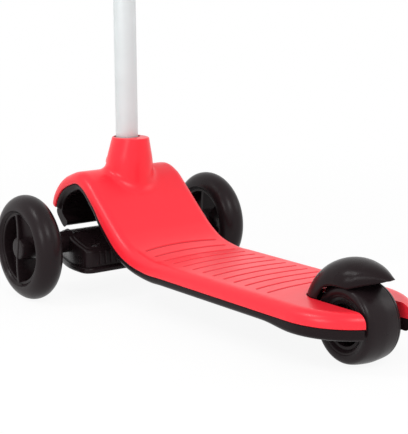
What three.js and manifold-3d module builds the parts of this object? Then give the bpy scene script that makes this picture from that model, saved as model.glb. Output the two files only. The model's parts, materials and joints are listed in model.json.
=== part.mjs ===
// A lean-to-steer kids scooter with two front wheels and one rear wheel, as its separate pieces.
// Millimetres. +X is the rider's right, +Y is forward, +Z is up, and the floor is z = 0.
import * as THREE from "three";
import { mergeVertices } from "three/addons/utils/BufferGeometryUtils.js";
import Module from "manifold-3d";

const wasm = await Module();
wasm.setup();

// Whole scooter
const wheelbase = 412;
const frontTrack = 256;
const crossbarHeight = 620;
const fitGap = 0.3;
const cutOverrun = 6;
const weldDistance = 0.001;

// Front wheels: tyre, hub and bearing seats
const frontTyreRadius = 60;
const frontTyreWidth = 32;
const tyreMouthRadius = 43.3;
const tyreMouthStep = 1.2;
const tyreBoreRadius = 41.2;
const frontHubHalfWidth = 12.4;
const frontRimWall = 3.6;
const hubBossRadius = 13.8;
const hubShoulderHalf = 3.5;
const bladeThickness = 3;
const bladeRise = 17;
const bladeSweepDegrees = 120;
const ridgeThickness = 4;
const ridgeHeight = 12;
const ridgeFoot = 9;
const hubCapThickness = 1.3;
const bearingRadius = 11;
const bearingWidth = 7;
const bearingGroove = 0.6;
const bearingRaceWall = 2.2;

// Axles and their small parts
const axleRadius = 4;
const axleHeadRadius = 6.6;
const axleHeadHeight = 3;
const axleSpacerWall = 2.4;
const axleNutRadius = 7;
const axleNutHeight = 6.4;
const axleNutSetback = 29.5;
const axleTail = 3;

// Rear wheel
const rearTyreRadius = 40.5;
const rearTyreWidth = 44;
const rearTyreBoreRadius = 24.3;
const rearTyreBeadStep = 3;
const rearCrownDrop = 1.3;
const rearShoulderDrop = 3.7;
const rearWallDrop = 7.5;
const rearHubHalfWidth = 18.6;
const rearHubWall = 3.4;
const rearHubWeb = 5;
const rearShoulderHalf = 9;
// The rear tread's shoulders: a share of the crown's drop, then a share of the half width
const rearTreadShares = [
  [1, 0.72],
  [0.33, 0.4],
];

// Deck shell
const deckHalfWidth = 67;
const deckHeight = 61;
const archRise = 79;
const archFront = 58;
const archRun = 150;
const skirtHeight = 14.6;
const shellWall = 4;
const deckEdgeRadius = 11;
const tailLead = 27;
const tailLength = 75;
const slotHalfWidth = 28.5;
const slotLead = 58;
const slotFlatHalf = 1.5;

// Neck and stem socket
const neckTop = 178;
const neckRimHalfWidth = 20;
const neckRimHalfLength = 25;
const neckSetback = 20;
const neckBaseDrop = 68;
const stemSetback = 12.5;
const socketWall = 4.2;
const stemBushWall = 2;
const stemBushDepth = 9;
const stemBushFlange = 1.2;

// Under frame
const panDepth = 9;
const panInset = 1.2;
const panWall = 3;
const panLap = 2.5;
const panCornerRadius = 5;
const panCavityGap = 12;
const armBottom = 34;
const ribThickness = 3;
const ribOffset = 24;
const ribSpacing = 62;
const ribSetback = 10;
const noseDrop = 22.7;
const pillarRadius = 15.5;
const pillarFlare = 24;
const pillarTop = 64;
const pillarNeck = 12;

// Deck screws
const deckScrewInset = 25;
const deckScrewSetback = 22;
const deckScrewLead = 14;
const deckScrewRadius = 1.9;
const deckScrewHeadRadius = 4;
const deckScrewHeadHeight = 1.6;
const deckScrewLength = 13;
const deckBossWall = 2.6;

// Rear axle keepers
const keeperHalfLength = 12;
const keeperWidth = 14;
const keeperInset = 33;
const keeperScrewOffset = 8.4;
const keeperScrewRadius = 1.5;
const keeperScrewHeadRadius = 2.8;
const keeperScrewHeadHeight = 1;
const keeperScrewLength = 9;

// Truck: kingpin line, hanger and undertray
const kingpinLeanDegrees = 25;
const kingpinRadius = 5;
const kingpinHexRadius = 8.5;
const kingpinHeadHeight = 5.6;
const kingpinNutHeight = 7;
const kingpinNutSeat = 38;
const truckPlateHalf = 6;
const upperBushingRadius = 13.5;
const upperBushingHeight = 11.7;
const lowerBushingRadius = 11.5;
const lowerBushingHeight = 8.7;
const bushingWaist = 1.4;
const washerHeight = 1.6;
const bushingWellGap = 3;
const hangerInset = 44;
const hangerCornerRun = 16;
const hangerRear = 53;
const hangerFront = 38;
const hangerShoulder = 18;
const hangerCornerRadius = 11;
const planCornerShare = 0.5;
const hangerBottom = 38;
const hangerTop = 70;
const hangerRearTop = 57;
const hangerFrontTop = 60;
const hangerTopRun = 20;
const hangerRoof = 54;
const hangerPocketInner = 28;
const hangerPocketEnd = 20;
const hangerPocketInset = 6;
const axleBossRadius = 12.5;
const axleBossInset = 20;
const axleBossBite = 10;
const trayLip = 4;
const trayHeight = 6.5;
const trayEdge = 2.5;
const trayWindowRadius = 17;
const truckScrewRadius = 2;
const truckScrewHeadRadius = 4.4;
const truckScrewHeadHeight = 3;
const truckScrewSink = 0.8;
const truckScrewBite = 3.5;
const truckScrewColumn = 6.5;
const truckScrewFrontInset = 14;
const truckScrewFrontY = 3;
const truckScrewRearInset = 19;
const truckScrewRearY = 40;

// Brake fender
const fenderRadius = 62.6;
const fenderEdgeRadius = 41;
const fenderTipRadius = 68;
const fenderHalfWidth = 29;
const fenderTipHalfWidth = 5;
const fenderWall = 3;
const fenderFootGap = 1.2;
const brakeShoeGap = 3;
const brakeShoeHalfWidth = 12.4;
const brakeShoeThickness = 13;
const brakeShoeStartDegrees = 70;
const brakeShoeSweepDegrees = 35;
const brakePinSetback = 9;
const brakePinDrop = 5;
const brakePinRadius = 2.5;
const brakePinBite = 3.2;
const brakeBarrelRadius = 6;
const brakeBarrelInner = 4.5;
const brakeBarrelOuter = 15;
const brakeWebSetback = 2.5;
const brakeWebRise = 12;
const brakeSpringWall = 1.2;

// Stem, catch and release button
const stemRadius = 13;
const stemWall = 1.5;
const catchRise = 5;
const catchNoseRadius = 3.8;
const catchNoseReach = 4.4;
const catchLeaf = 1;
const catchLeafHalfWidth = 4;
const catchFrontLeg = 7;
const catchFootRise = 5.7;
const catchRearLeg = 22;
const buttonRadius = 7;
const buttonLength = 16.6;
const buttonTravel = 2.5;
const buttonBossRadius = 10;
const buttonBossReach = 7.5;
const releaseSpringWall = 0.9;
const releaseSpringLength = 4.6;

// Handlebar
const crossbarRadius = 11;
const crossbarWall = 1.5;
const crossbarHalfLength = 132;
const teeWall = 4;
const teeHalfLength = 30;
const teeDrop = 48;
const teeScrewDrop = 34;
const teeScrewRadius = 2.4;
const teeScrewHeadRadius = 4.4;
const teeScrewHeadHeight = 2.6;
const teeScrewLength = 9;
const gripStart = 36;
const gripWall = 4.2;
const gripFlange = 4;
const gripFlangeWidth = 4;
const gripEndWall = 6;
const gripRibDepth = 1;
const gripRibCount = 5;
const gripValleyShare = 0.125;

// How finely round and curved things are cut into flat faces
const wheelSides = 24;
const tubeSides = 20;
const boreSides = 14;
const screwSides = 8;
const neckSides = 24;
const archSteps = 18;
const edgeSteps = 3;
const tyreSideSteps = 8;
const bladeSteps = 10;
const tailStepDegrees = 11;
const tailEndDegrees = 66;
const fenderSideSteps = 5;
const shoeSteps = 5;

// Places worked out from the sizes above
const radians = Math.PI / 180;
const crestHeight = deckHeight + archRise;
const catchHeight = crestHeight + catchRise;
const slotFront = wheelbase - slotLead;
const slotCornerRun = slotHalfWidth - slotFlatHalf;
const tailStart = wheelbase - tailLead;
const panCavityEnd = slotFront - panCavityGap;
const deckScrewX = deckHalfWidth - deckScrewInset;
const deckScrewFront = archRun + deckScrewSetback;
const deckScrewRear = panCavityEnd - deckScrewLead;
const hangerReach = frontTrack / 2 - hangerInset;
const hangerCornerX = hangerReach - hangerCornerRun;
const hangerPocketOuter = hangerReach - hangerPocketEnd;
const truckScrewFrontX = hangerReach - truckScrewFrontInset;
const truckScrewRearX = hangerReach - truckScrewRearInset;
const axleBossReach = frontTrack / 2 - axleBossInset;
const axleNutInset = frontTrack / 2 - axleNutSetback;
const rearAxleHeight = rearTyreRadius;
const seamHeight = deckHeight - skirtHeight;
const stemBoreRadius = stemRadius + fitGap;
const axleBoreRadius = axleRadius + fitGap;
const bearingSeatRadius = bearingRadius + fitGap;
const brakePinY = -slotFront - brakePinSetback;
const brakePinZ = deckHeight - brakePinDrop;

// Outline shares, front to back. Each pair is a share of the arch's length and a share of its rise.
const archFrontShares = [
  [1, 0.455],
  [0.914, 0.6],
  [0.736, 0.757],
  [0.524, 0.87],
  [0.276, 0.947],
  [0.03, 0.999],
];
const archRearShares = [
  [0.067, 1],
  [0.177, 0.915],
  [0.305, 0.718],
  [0.419, 0.533],
  [0.524, 0.365],
  [0.628, 0.214],
  [0.769, 0.077],
  [1, 0],
  [1.12, 0],
];
// How deep the red side is along the arch: a share of the path, then a share of the skirt height.
const skirtShares = [
  [0, 0.96],
  [0.3, 0.91],
  [0.49, 0.9],
  [0.57, 1.08],
  [0.65, 1.15],
  [0.72, 1.18],
  [0.81, 1.08],
  [1, 1],
];
// Where the black frame curls in under the arch's front end, as shares of its drop.
const noseShares = [
  [-0.15, 0.1],
  [-0.02, -0.02],
  [0.12, -0.32],
  [-0.17, -0.71],
  [-0.57, -1],
  [-0.8, -0.76],
  [-0.47, -0.5],
  [-0.31, -0.28],
  [-0.42, 0.1],
];
// Neck sections: share of its height below the rim, half width, half length, and setback, as shares of the rim's.
const neckShares = [
  [0, 1, 1, 1],
  [0.2, 1.17, 1.07, 0.92],
  [0.4, 1.32, 1.14, 0.85],
  [0.65, 1.39, 1.17, 0.78],
  [1, 1.45, 1.19, 0.74],
];
// Fender sections: angle about the rear axle from straight ahead, then how far the crown, the side edge
// and the width have moved towards their values at the tip.
const fenderAngleShares = [
  [14, 0, 0, 0.0],
  [26, 0, 0, 0.0],
  [38, 0, 0, 0.0],
  [50, 0, 0, 0.01],
  [62, 0, 0, 0.02],
  [74, 0, 0, 0.03],
  [86, 0, -0.02, 0.04],
  [96, 0.02, 0, 0.08],
  [104, 0.1, 0.12, 0.16],
  [112, 0.28, 0.32, 0.32],
  [120, 0.52, 0.56, 0.54],
  [127, 0.78, 0.8, 0.78],
  [132, 1, 0.96, 1],
];
const fenderTipReach = -fenderTipRadius * Math.cos(fenderAngleShares.at(-1)[0] * radians);
const middleOfLength = (wheelbase + fenderTipReach - frontTyreRadius) / 2;

const plastic = (colour, roughness) =>
  new THREE.MeshStandardMaterial({ color: colour, roughness, metalness: 0 });
const metal = (colour, roughness) =>
  new THREE.MeshStandardMaterial({ color: colour, roughness, metalness: 1 });
const redPlastic = plastic(0xff3440, 0.38);
const blackPlastic = plastic(0x1c1819, 0.42);
const wheelRubber = plastic(0x2a2526, 0.5);
const gripRubber = plastic(0x242122, 0.75);
const bushingRubber = plastic(0x3a3636, 0.7);
const bareAluminium = metal(0xd4d4d6, 0.32);
const zincSteel = metal(0xb4b6b8, 0.35);

// A closed geometry as a solid, with its faces turned outwards.
function solid(geometry) {
  const bare = geometry.index ? geometry.toNonIndexed() : geometry.clone();
  bare.deleteAttribute("normal");
  bare.deleteAttribute("uv");
  const merged = mergeVertices(bare, weldDistance);
  const corners = merged.index.array;
  const kept = [];
  for (let i = 0; i < corners.length; i += 3) {
    const [a, b, c] = [corners[i], corners[i + 1], corners[i + 2]];
    if (a !== b && b !== c && c !== a) kept.push([a, b, c]);
  }
  const build = (triangles) =>
    new wasm.Manifold(
      new wasm.Mesh({
        numProp: 3,
        vertProperties: new Float32Array(merged.attributes.position.array),
        triVerts: new Uint32Array(triangles.flat()),
      }),
    );
  const made = build(kept);
  return made.volume() < 0 ? build(kept.map(([a, b, c]) => [a, c, b])) : made;
}

function geometryOf(body) {
  const { vertProperties, triVerts } = body.getMesh();
  const geometry = new THREE.BufferGeometry();
  geometry.setAttribute("position", new THREE.BufferAttribute(vertProperties, 3));
  geometry.setIndex(new THREE.BufferAttribute(triVerts, 1));
  const flat = geometry.toNonIndexed();
  flat.computeVertexNormals();
  return flat;
}

const joined = (first, ...others) => others.reduce((sum, other) => sum.add(other), first);
const cut = (body, ...cutters) => cutters.reduce((rest, cutter) => rest.subtract(cutter), body);

// A profile of [radius, height] pairs turned about the named axis, with its height along that axis.
function turned(profile, sides, axis = "z") {
  const points = profile.map(([radius, height]) => new THREE.Vector2(radius, height));
  if (profile[0][0] > 0) points.push(points[0].clone());
  const geometry = new THREE.LatheGeometry(points, sides);
  if (axis === "z") geometry.rotateX(Math.PI / 2);
  if (axis === "x") geometry.rotateZ(-Math.PI / 2);
  return solid(geometry);
}

const rod = (radius, from, to, sides, axis) =>
  turned([[0, from], [radius, from], [radius, to], [0, to]], sides, axis);
const sleeve = (inner, outer, from, to, sides, axis) =>
  turned([[inner, from], [outer, from], [outer, to], [inner, to]], sides, axis);

function block([x0, x1], [y0, y1], [z0, z1]) {
  const geometry = new THREE.BoxGeometry(x1 - x0, y1 - y0, z1 - z0);
  geometry.translate((x0 + x1) / 2, (y0 + y1) / 2, (z0 + z1) / 2);
  return solid(geometry);
}

// An outline of [y, z] pairs pushed along X from -half to half.
function prismAcross(outline, half) {
  const shape = new THREE.Shape(outline.map(([y, z]) => new THREE.Vector2(y, z)));
  const geometry = new THREE.ExtrudeGeometry(shape, { depth: 2 * half, bevelEnabled: false });
  geometry.translate(0, 0, -half);
  geometry.applyMatrix4(
    new THREE.Matrix4().makeBasis(
      new THREE.Vector3(0, 1, 0),
      new THREE.Vector3(0, 0, 1),
      new THREE.Vector3(1, 0, 0),
    ),
  );
  return solid(geometry);
}

// An outline of [x, y] pairs with rounded corners, pushed up from one height to another.
function plate(outline, corner, bottom, top, edge = 0) {
  const shape = new THREE.Shape();
  outline.forEach(([x, y], i) => {
    const at = new THREE.Vector2(x, y);
    const before = new THREE.Vector2(...outline.at(i - 1));
    const after = new THREE.Vector2(...outline[(i + 1) % outline.length]);
    const start = before.sub(at).setLength(corner).add(at);
    const end = after.sub(at).setLength(corner).add(at);
    if (i === 0) shape.moveTo(start.x, start.y);
    else shape.lineTo(start.x, start.y);
    shape.quadraticCurveTo(x, y, end.x, end.y);
  });
  shape.closePath();
  const geometry = new THREE.ExtrudeGeometry(shape, {
    depth: top - bottom - 2 * edge,
    curveSegments: edgeSteps,
    bevelEnabled: edge > 0,
    bevelThickness: edge,
    bevelSize: edge,
    bevelOffset: -edge,
    bevelSegments: 2,
  });
  geometry.translate(0, 0, bottom + edge);
  return solid(geometry);
}

// Sections of as many points each, joined in order and closed at both ends by rungs from side to side.
function loft(sections) {
  const count = sections[0].length;
  const index = [];
  for (let s = 0; s + 1 < sections.length; s++) {
    for (let i = 0; i < count; i++) {
      const a = s * count + i;
      const b = s * count + ((i + 1) % count);
      index.push(a, b, a + count, b, b + count, a + count);
    }
  }
  const last = (sections.length - 1) * count;
  for (let i = 0; i + 1 < count / 2; i++) {
    const [a, b, c, d] = [i, i + 1, count - 2 - i, count - 1 - i];
    index.push(a, c, b, a, d, c);
    index.push(last + a, last + b, last + c, last + a, last + c, last + d);
  }
  const geometry = new THREE.BufferGeometry();
  geometry.setFromPoints(sections.flat());
  geometry.setIndex(index);
  return solid(geometry);
}

// The value beside x in a table of [x, value] pairs, on straight lines between them.
function between(table, x) {
  const after = Math.max(1, table.findIndex(([at]) => at >= x));
  const [x0, v0] = table[after - 1];
  const [x1, v1] = table[after];
  return v0 + ((v1 - v0) * (x - x0)) / (x1 - x0);
}

const hexagon = (radius, from, to, bore) =>
  cut(rod(radius, from, to, 6, "z"), rod(bore, from - cutOverrun, to + cutOverrun, boreSides, "z"));

// The kingpin line leans forward at its top and crosses the middle of the front axle.
const kingpinLine = new THREE.Matrix4()
  .makeTranslation(0, 0, frontTyreRadius)
  .multiply(new THREE.Matrix4().makeRotationX(-kingpinLeanDegrees * radians));
const alongKingpin = (body) => solid(geometryOf(body).applyMatrix4(kingpinLine));

// The deck's top line from the arch's front lip to the tail, and the frame of each section on it.
function deckSections() {
  const controls = [
    ...archFrontShares.map(([run, rise]) => [archFront * run, rise]),
    ...archRearShares.map(([run, rise]) => [-archRun * run, rise]),
  ].map(([y, rise]) => new THREE.Vector3(0, y, deckHeight + archRise * rise));
  const curve = new THREE.CatmullRomCurve3(controls, false, "centripetal");
  const plain = { half: deckHalfWidth, across: 1, along: 0 };
  const sections = [];
  for (let i = 0; i <= archSteps; i++) {
    const share = i / archSteps;
    const { y, z } = curve.getPointAt(share);
    const { y: ty, z: tz } = curve.getTangentAt(share);
    const skirt = skirtHeight * between(skirtShares, share);
    sections.push({ ...plain, y, z, ty, tz, skirt, pan: panDepth });
  }
  const flat = { z: deckHeight, ty: -1, tz: 0, skirt: skirtHeight };
  sections.push({ ...plain, ...flat, y: -panCavityEnd, pan: panDepth });
  sections.push({ ...plain, ...flat, y: -tailStart, pan: seamHeight - armBottom });
  for (let angle = tailStepDegrees; angle <= tailEndDegrees; angle += tailStepDegrees) {
    const turn = angle * radians;
    const normal = new THREE.Vector2(
      Math.cos(turn) / deckHalfWidth,
      Math.sin(turn) / tailLength,
    ).normalize();
    sections.push({
      ...flat,
      y: -tailStart - tailLength * Math.sin(turn),
      half: deckHalfWidth * Math.cos(turn),
      across: normal.x,
      along: normal.y,
      pan: seamHeight - armBottom,
    });
  }
  return sections;
}
const deckLine = deckSections();
const archEnd = deckLine.findIndex(({ y }) => y < -archRun);
const panEnd = deckLine.findIndex(({ y }) => y <= -panCavityEnd);

const belowLine = ({ y, z, ty, tz }, depth) => [y - depth * tz, z + depth * ty];

// A body that follows the deck line: set in from the side outline, between two depths below the line.
function follow(sections, { inset, top, bottom, topRadius = 0, bottomRadius = 0 }) {
  const corner = (radius) => {
    const angles = [0];
    for (let i = 1; i <= edgeSteps && radius > 0; i++) angles.push((90 * i) / edgeSteps);
    return angles;
  };
  return loft(
    sections.map((section) => {
      const low = corner(bottomRadius).map((angle) => [
        inset + bottomRadius * (1 - Math.cos(angle * radians)),
        bottom(section) - bottomRadius * (1 - Math.sin(angle * radians)),
      ]);
      const high = corner(topRadius).map((angle) => [
        inset + topRadius * (1 - Math.cos(angle * radians)),
        top(section) + topRadius * (1 - Math.sin(angle * radians)),
      ]);
      const side = [...low.reverse(), ...high];
      const at = (sign, [inward, depth]) => {
        const [y, z] = belowLine(section, depth);
        return new THREE.Vector3(
          sign * (section.half - inward * section.across),
          y - inward * section.along * section.ty,
          z - inward * section.along * section.tz,
        );
      };
      return [
        ...side.map((place) => at(-1, place)),
        ...side.toReversed().map((place) => at(1, place)),
      ];
    }),
  );
}

const everyHeight = [-cutOverrun, neckTop];
const pastTail = -tailStart - tailLength - slotCornerRun;
const slotBlock = (grow) =>
  plate(
    [
      [-slotHalfWidth - grow, pastTail],
      [slotHalfWidth + grow, pastTail],
      [slotHalfWidth + grow, -slotFront + grow],
      [-slotHalfWidth - grow, -slotFront + grow],
    ],
    slotCornerRun,
    ...everyHeight,
  );

// Heights where the stem's socket ends above the frame's floor
const crestSkirt = skirtHeight * between(skirtShares, skirtShares[1][0]);
const socketBottom = crestHeight - crestSkirt - panDepth + panWall + 2 * fitGap;
const stemBottom = socketBottom + fitGap;
const stemFront = -stemSetback + stemRadius;
const catchNoseEnd = stemFront + catchNoseReach;
const buttonBack = catchNoseEnd + fitGap;
const buttonFloor = buttonBack - buttonTravel - fitGap;
const noseHoleRadius = catchNoseRadius + fitGap;
const deckScrewPlaces = [
  [-deckScrewX, -deckScrewFront],
  [deckScrewX, -deckScrewFront],
  [-deckScrewX, -deckScrewRear],
  [deckScrewX, -deckScrewRear],
];
const panBottom = seamHeight - panDepth;
const deckBossBottom = panBottom + panWall + fitGap;
const shellCeiling = deckHeight - shellWall;

function neckBody() {
  const sections = neckShares.map(([drop, width, length, back]) => {
    const points = [];
    for (let i = 0; i < neckSides; i++) {
      const turn = ((i + 0.5) * 360 * radians) / neckSides;
      points.push(
        new THREE.Vector3(
          -neckRimHalfWidth * width * Math.sin(turn),
          neckRimHalfLength * length * Math.cos(turn) - neckSetback * back,
          neckTop - neckBaseDrop * drop,
        ),
      );
    }
    return points;
  });
  const arch = deckLine.slice(0, archEnd);
  const under = arch.map((section) => belowLine(section, shellWall / 2));
  const [frontY] = under[0];
  const [rearY] = under.at(-1);
  const ceiling = neckTop + cutOverrun;
  const room = prismAcross([...under, [rearY, ceiling], [frontY, ceiling]], deckHalfWidth);
  return loft(sections).intersect(room);
}

function deckShell() {
  const outer = follow(deckLine, {
    inset: 0,
    top: () => 0,
    bottom: ({ skirt }) => skirt,
    topRadius: deckEdgeRadius,
  });
  const hollow = follow(deckLine.slice(1), {
    inset: shellWall,
    top: () => shellWall,
    bottom: ({ skirt }) => skirt + cutOverrun,
    topRadius: deckEdgeRadius - shellWall,
  });
  const socketOuter = stemBoreRadius + socketWall;
  const socket = sleeve(stemRadius, socketOuter, socketBottom, crestHeight - shellWall / 2, tubeSides, "z");
  const bossRadius = deckScrewRadius + fitGap + deckBossWall;
  const bosses = deckScrewPlaces.map(([x, y]) =>
    rod(bossRadius, deckBossBottom, shellCeiling + shellWall / 2, screwSides, "z").translate([x, y, 0]),
  );
  const buttonBoss = rod(buttonBossRadius, stemFront, neckFrontAtCatch + buttonBossReach, boreSides, "y");
  const stemBore = rod(stemBoreRadius, socketBottom - cutOverrun, neckTop + cutOverrun, tubeSides, "z");
  const bushSeat = rod(
    stemBoreRadius + stemBushWall + fitGap,
    neckTop - stemBushDepth - fitGap,
    neckTop + cutOverrun,
    tubeSides,
    "z",
  );
  const body = joined(
    cut(outer, cut(hollow, slotBlock(shellWall))),
    neckBody(),
    socket.translate([0, -stemSetback, 0]),
    buttonBoss.translate([0, 0, catchHeight]),
    ...bosses,
  );
  const pinReach = slotHalfWidth + brakePinBite + fitGap;
  return cut(
    body,
    slotBlock(0),
    stemBore.translate([0, -stemSetback, 0]),
    bushSeat.translate([0, -stemSetback, 0]),
    rod(noseHoleRadius, -stemSetback, buttonFloor + cutOverrun, boreSides, "y").translate([0, 0, catchHeight]),
    rod(buttonRadius + fitGap, buttonFloor, neckTop, boreSides, "y").translate([0, 0, catchHeight]),
    rod(brakePinRadius + fitGap, -pinReach, pinReach, screwSides, "x").translate([0, brakePinY, brakePinZ]),
    ...deckScrewPlaces.map(([x, y]) =>
      rod(
        deckScrewRadius + fitGap,
        deckBossBottom - cutOverrun,
        panBottom + deckScrewHeadHeight + deckScrewLength + fitGap,
        screwSides,
        "z",
      ).translate([x, y, 0]),
    ),
  );
}

// How far forward the neck reaches at the release button's height
const catchDropShare = (neckTop - catchHeight) / neckBaseDrop;
const neckFrontAtCatch =
  neckRimHalfLength * between(neckShares.map(([drop, , length]) => [drop, length]), catchDropShare) -
  neckSetback * between(neckShares.map(([drop, , , back]) => [drop, back]), catchDropShare);

// The kingpin's stack along its own line, measured from the front axle
const upperBushingFoot = truckPlateHalf + fitGap;
const upperWasherFoot = upperBushingFoot + upperBushingHeight + fitGap;
const pillarFoot = upperWasherFoot + washerHeight + fitGap;
const lowerBushingTop = -truckPlateHalf - fitGap;
const lowerWasherTop = lowerBushingTop - lowerBushingHeight - fitGap;
const kingpinHeadTop = lowerWasherTop - washerHeight - fitGap;
const kingpinBoreRadius = kingpinRadius + fitGap;

function underFrame() {
  const sideInset = shellWall + fitGap;
  const tray = follow(deckLine, {
    inset: panInset,
    top: ({ skirt }) => skirt + fitGap,
    bottom: ({ skirt, pan }) => skirt + pan,
    bottomRadius: panCornerRadius,
  });
  const lap = follow(deckLine.slice(2), {
    inset: sideInset,
    top: ({ skirt }) => skirt - panLap,
    bottom: ({ skirt }) => skirt + panWall,
  });
  const hollow = follow(deckLine.slice(1, panEnd + 1), {
    inset: sideInset + panWall,
    top: ({ skirt }) => skirt - panLap - cutOverrun,
    bottom: ({ skirt, pan }) => skirt + pan - panWall,
  });
  const innerHalf = deckHalfWidth - sideInset;
  const ribTop = shellCeiling - fitGap;
  const ribEnd = -panCavityEnd - panWall;
  const ribs = [-1, 1].map((side) =>
    block(
      [side * ribOffset - ribThickness / 2, side * ribOffset + ribThickness / 2],
      [ribEnd, -archRun - ribSetback],
      [panBottom + panWall / 2, ribTop],
    ),
  );
  for (let y = archRun + ribSetback; y < panCavityEnd; y += ribSpacing) {
    ribs.push(
      block(
        [-innerHalf + panWall / 2, innerHalf - panWall / 2],
        [-y - ribThickness, -y],
        [panBottom + panWall / 2, ribTop],
      ),
    );
  }
  const [lipY, lipZ] = belowLine(deckLine[0], deckLine[0].skirt);
  const nose = prismAcross(
    noseShares.map(([forward, up]) => [lipY + noseDrop * forward, lipZ + noseDrop * up]),
    innerHalf,
  );
  const pillar = alongKingpin(
    turned(
      [
        [0, pillarFoot],
        [pillarRadius, pillarFoot],
        [pillarRadius, pillarFoot + pillarNeck],
        [pillarFlare, pillarTop],
        [0, pillarTop],
      ],
      tubeSides,
    ),
  );
  const arch = deckLine.slice(0, archEnd);
  const floorLine = arch
    .map((section) => belowLine(section, section.skirt + section.pan - panWall / 2))
    .filter(([y]) => y > -archFront);
  const low = [
    [floorLine.at(-1)[0], frontTyreRadius],
    [floorLine[0][0], frontTyreRadius],
  ];
  const underFloor = prismAcross([...floorLine, ...low], innerHalf);
  const saddle = joined(
    rod(axleBoreRadius, -innerHalf, innerHalf, boreSides, "x"),
    block([-innerHalf, innerHalf], [-axleBoreRadius, axleBoreRadius], [-rearAxleHeight, 0]),
  ).translate([0, -wheelbase, rearAxleHeight]);
  const axleEnds = [-1, 1].map((side) =>
    block(
      side < 0 ? [-deckHalfWidth, -keeperOuter] : [keeperOuter, deckHalfWidth],
      [-wheelbase - keeperHalfLength, -wheelbase + keeperHalfLength],
      [0, keeperRoof],
    ),
  );
  const room = follow(deckLine, {
    inset: sideInset,
    top: () => shellWall + fitGap,
    bottom: ({ skirt, pan }) => skirt + pan,
    topRadius: deckEdgeRadius - shellWall,
  });
  const body = joined(
    cut(joined(tray, lap), hollow),
    joined(...ribs).intersect(room),
    nose,
    pillar.intersect(underFloor),
  );
  return cut(
    body,
    slotBlock(fitGap),
    block(
      [-slotHalfWidth - sideInset, slotHalfWidth + sideInset],
      [pastTail, -slotFront + sideInset],
      [seamHeight, neckTop],
    ),
    cut(saddle, ...axleEnds, axleEndStops()),
    ...[-1, 1].map((side) => keeperBlock(side, fitGap)),
    ...keeperScrewPlaces.map(([x, y]) =>
      rod(keeperScrewRadius + fitGap, 0, keeperScrewTop + fitGap, screwSides, "z").translate([x, y, 0]),
    ),
    ...deckScrewPlaces.map(([x, y]) =>
      joined(
        rod(deckScrewRadius + fitGap, 0, shellCeiling, screwSides, "z"),
        rod(deckScrewHeadRadius + fitGap, 0, panBottom + deckScrewHeadHeight, screwSides, "z"),
      ).translate([x, y, 0]),
    ),
    alongKingpin(rod(kingpinBoreRadius, 0, pillarTop, boreSides, "z")),
    alongKingpin(
      rod(kingpinHexRadius + 2 * fitGap, kingpinNutSeat - fitGap, pillarTop + cutOverrun, boreSides, "z"),
    ),
  );
}

// Keepers hold the rear axle up in its saddles from below.
const keeperOuter = keeperInset + keeperWidth;
const keeperRoof = rearAxleHeight - axleRadius;
const keeperScrewPlaces = [-1, 1].map((side) => [
  side * (keeperInset + keeperWidth / 2),
  -wheelbase - keeperScrewOffset,
]);
const keeperScrewTop = armBottom + keeperScrewHeadHeight + keeperScrewLength;
const rearAxleHalf = keeperOuter + fitGap;

function keeperBlock(side, grow) {
  const inner = keeperInset - grow;
  const outer = keeperOuter + grow;
  return block(
    side < 0 ? [-outer, -inner] : [inner, outer],
    [-wheelbase - keeperHalfLength - grow, -wheelbase + keeperHalfLength + grow],
    [grow > 0 ? 0 : armBottom, keeperRoof - fitGap + grow],
  );
}

// What is left of the arms outside the axle's ends
function axleEndStops() {
  const stops = [-1, 1].map((side) =>
    block(
      side < 0 ? [-deckHalfWidth, -rearAxleHalf - fitGap] : [rearAxleHalf + fitGap, deckHalfWidth],
      [-wheelbase - keeperHalfLength, -wheelbase + keeperHalfLength],
      [0, crestHeight],
    ),
  );
  return joined(...stops);
}

function axleKeeper(side) {
  const [x, y] = keeperScrewPlaces[side < 0 ? 0 : 1];
  return cut(
    keeperBlock(side, 0),
    rod(keeperScrewRadius + fitGap, 0, rearAxleHeight, screwSides, "z").translate([x, y, 0]),
    rod(keeperScrewHeadRadius + fitGap, 0, armBottom + keeperScrewHeadHeight, screwSides, "z").translate([x, y, 0]),
  );
}

// A screw standing on its head, its head's lowest face at zero
const screwUp = (radius, headRadius, headHeight, length) =>
  turned(
    [
      [0, 0],
      [headRadius, 0],
      [headRadius, headHeight - fitGap],
      [radius, headHeight - fitGap],
      [radius, headHeight + length],
      [0, headHeight + length],
    ],
    screwSides,
  );

// A rubber bushing with a waist, its foot at zero
const bushing = (radius, height) =>
  turned(
    [
      [kingpinBoreRadius, 0],
      [radius, 0],
      [radius - bushingWaist, height / 2],
      [radius, height],
      [kingpinBoreRadius, height],
    ],
    boreSides,
  );

const kingpin = () =>
  joined(
    rod(kingpinHexRadius, kingpinHeadTop - kingpinHeadHeight, kingpinHeadTop, 6, "z"),
    rod(kingpinRadius, kingpinHeadTop - weldDistance, kingpinNutSeat + kingpinNutHeight + fitGap, boreSides, "z"),
  );

// The truck's plan, grown on all sides
const truckPlan = (grow) => [
  [-hangerReach - grow, -hangerRear - grow],
  [hangerReach + grow, -hangerRear - grow],
  [hangerReach + grow, -hangerShoulder],
  [hangerCornerX + grow * planCornerShare, hangerFront + grow],
  [-hangerCornerX - grow * planCornerShare, hangerFront + grow],
  [-hangerReach - grow, -hangerShoulder],
];
const hangerSlope = [
  [-hangerRear, hangerRearTop],
  [0, hangerTop],
  [hangerTopRun, hangerTop],
  [hangerFront, hangerFrontTop],
];
const truckScrewPlaces = [
  [-truckScrewFrontX, truckScrewFrontY],
  [truckScrewFrontX, truckScrewFrontY],
  [-truckScrewRearX, -truckScrewRearY],
  [truckScrewRearX, -truckScrewRearY],
];
const truckScrewHeadTop = (y) => between(hangerSlope, y) - truckScrewSink;

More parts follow.
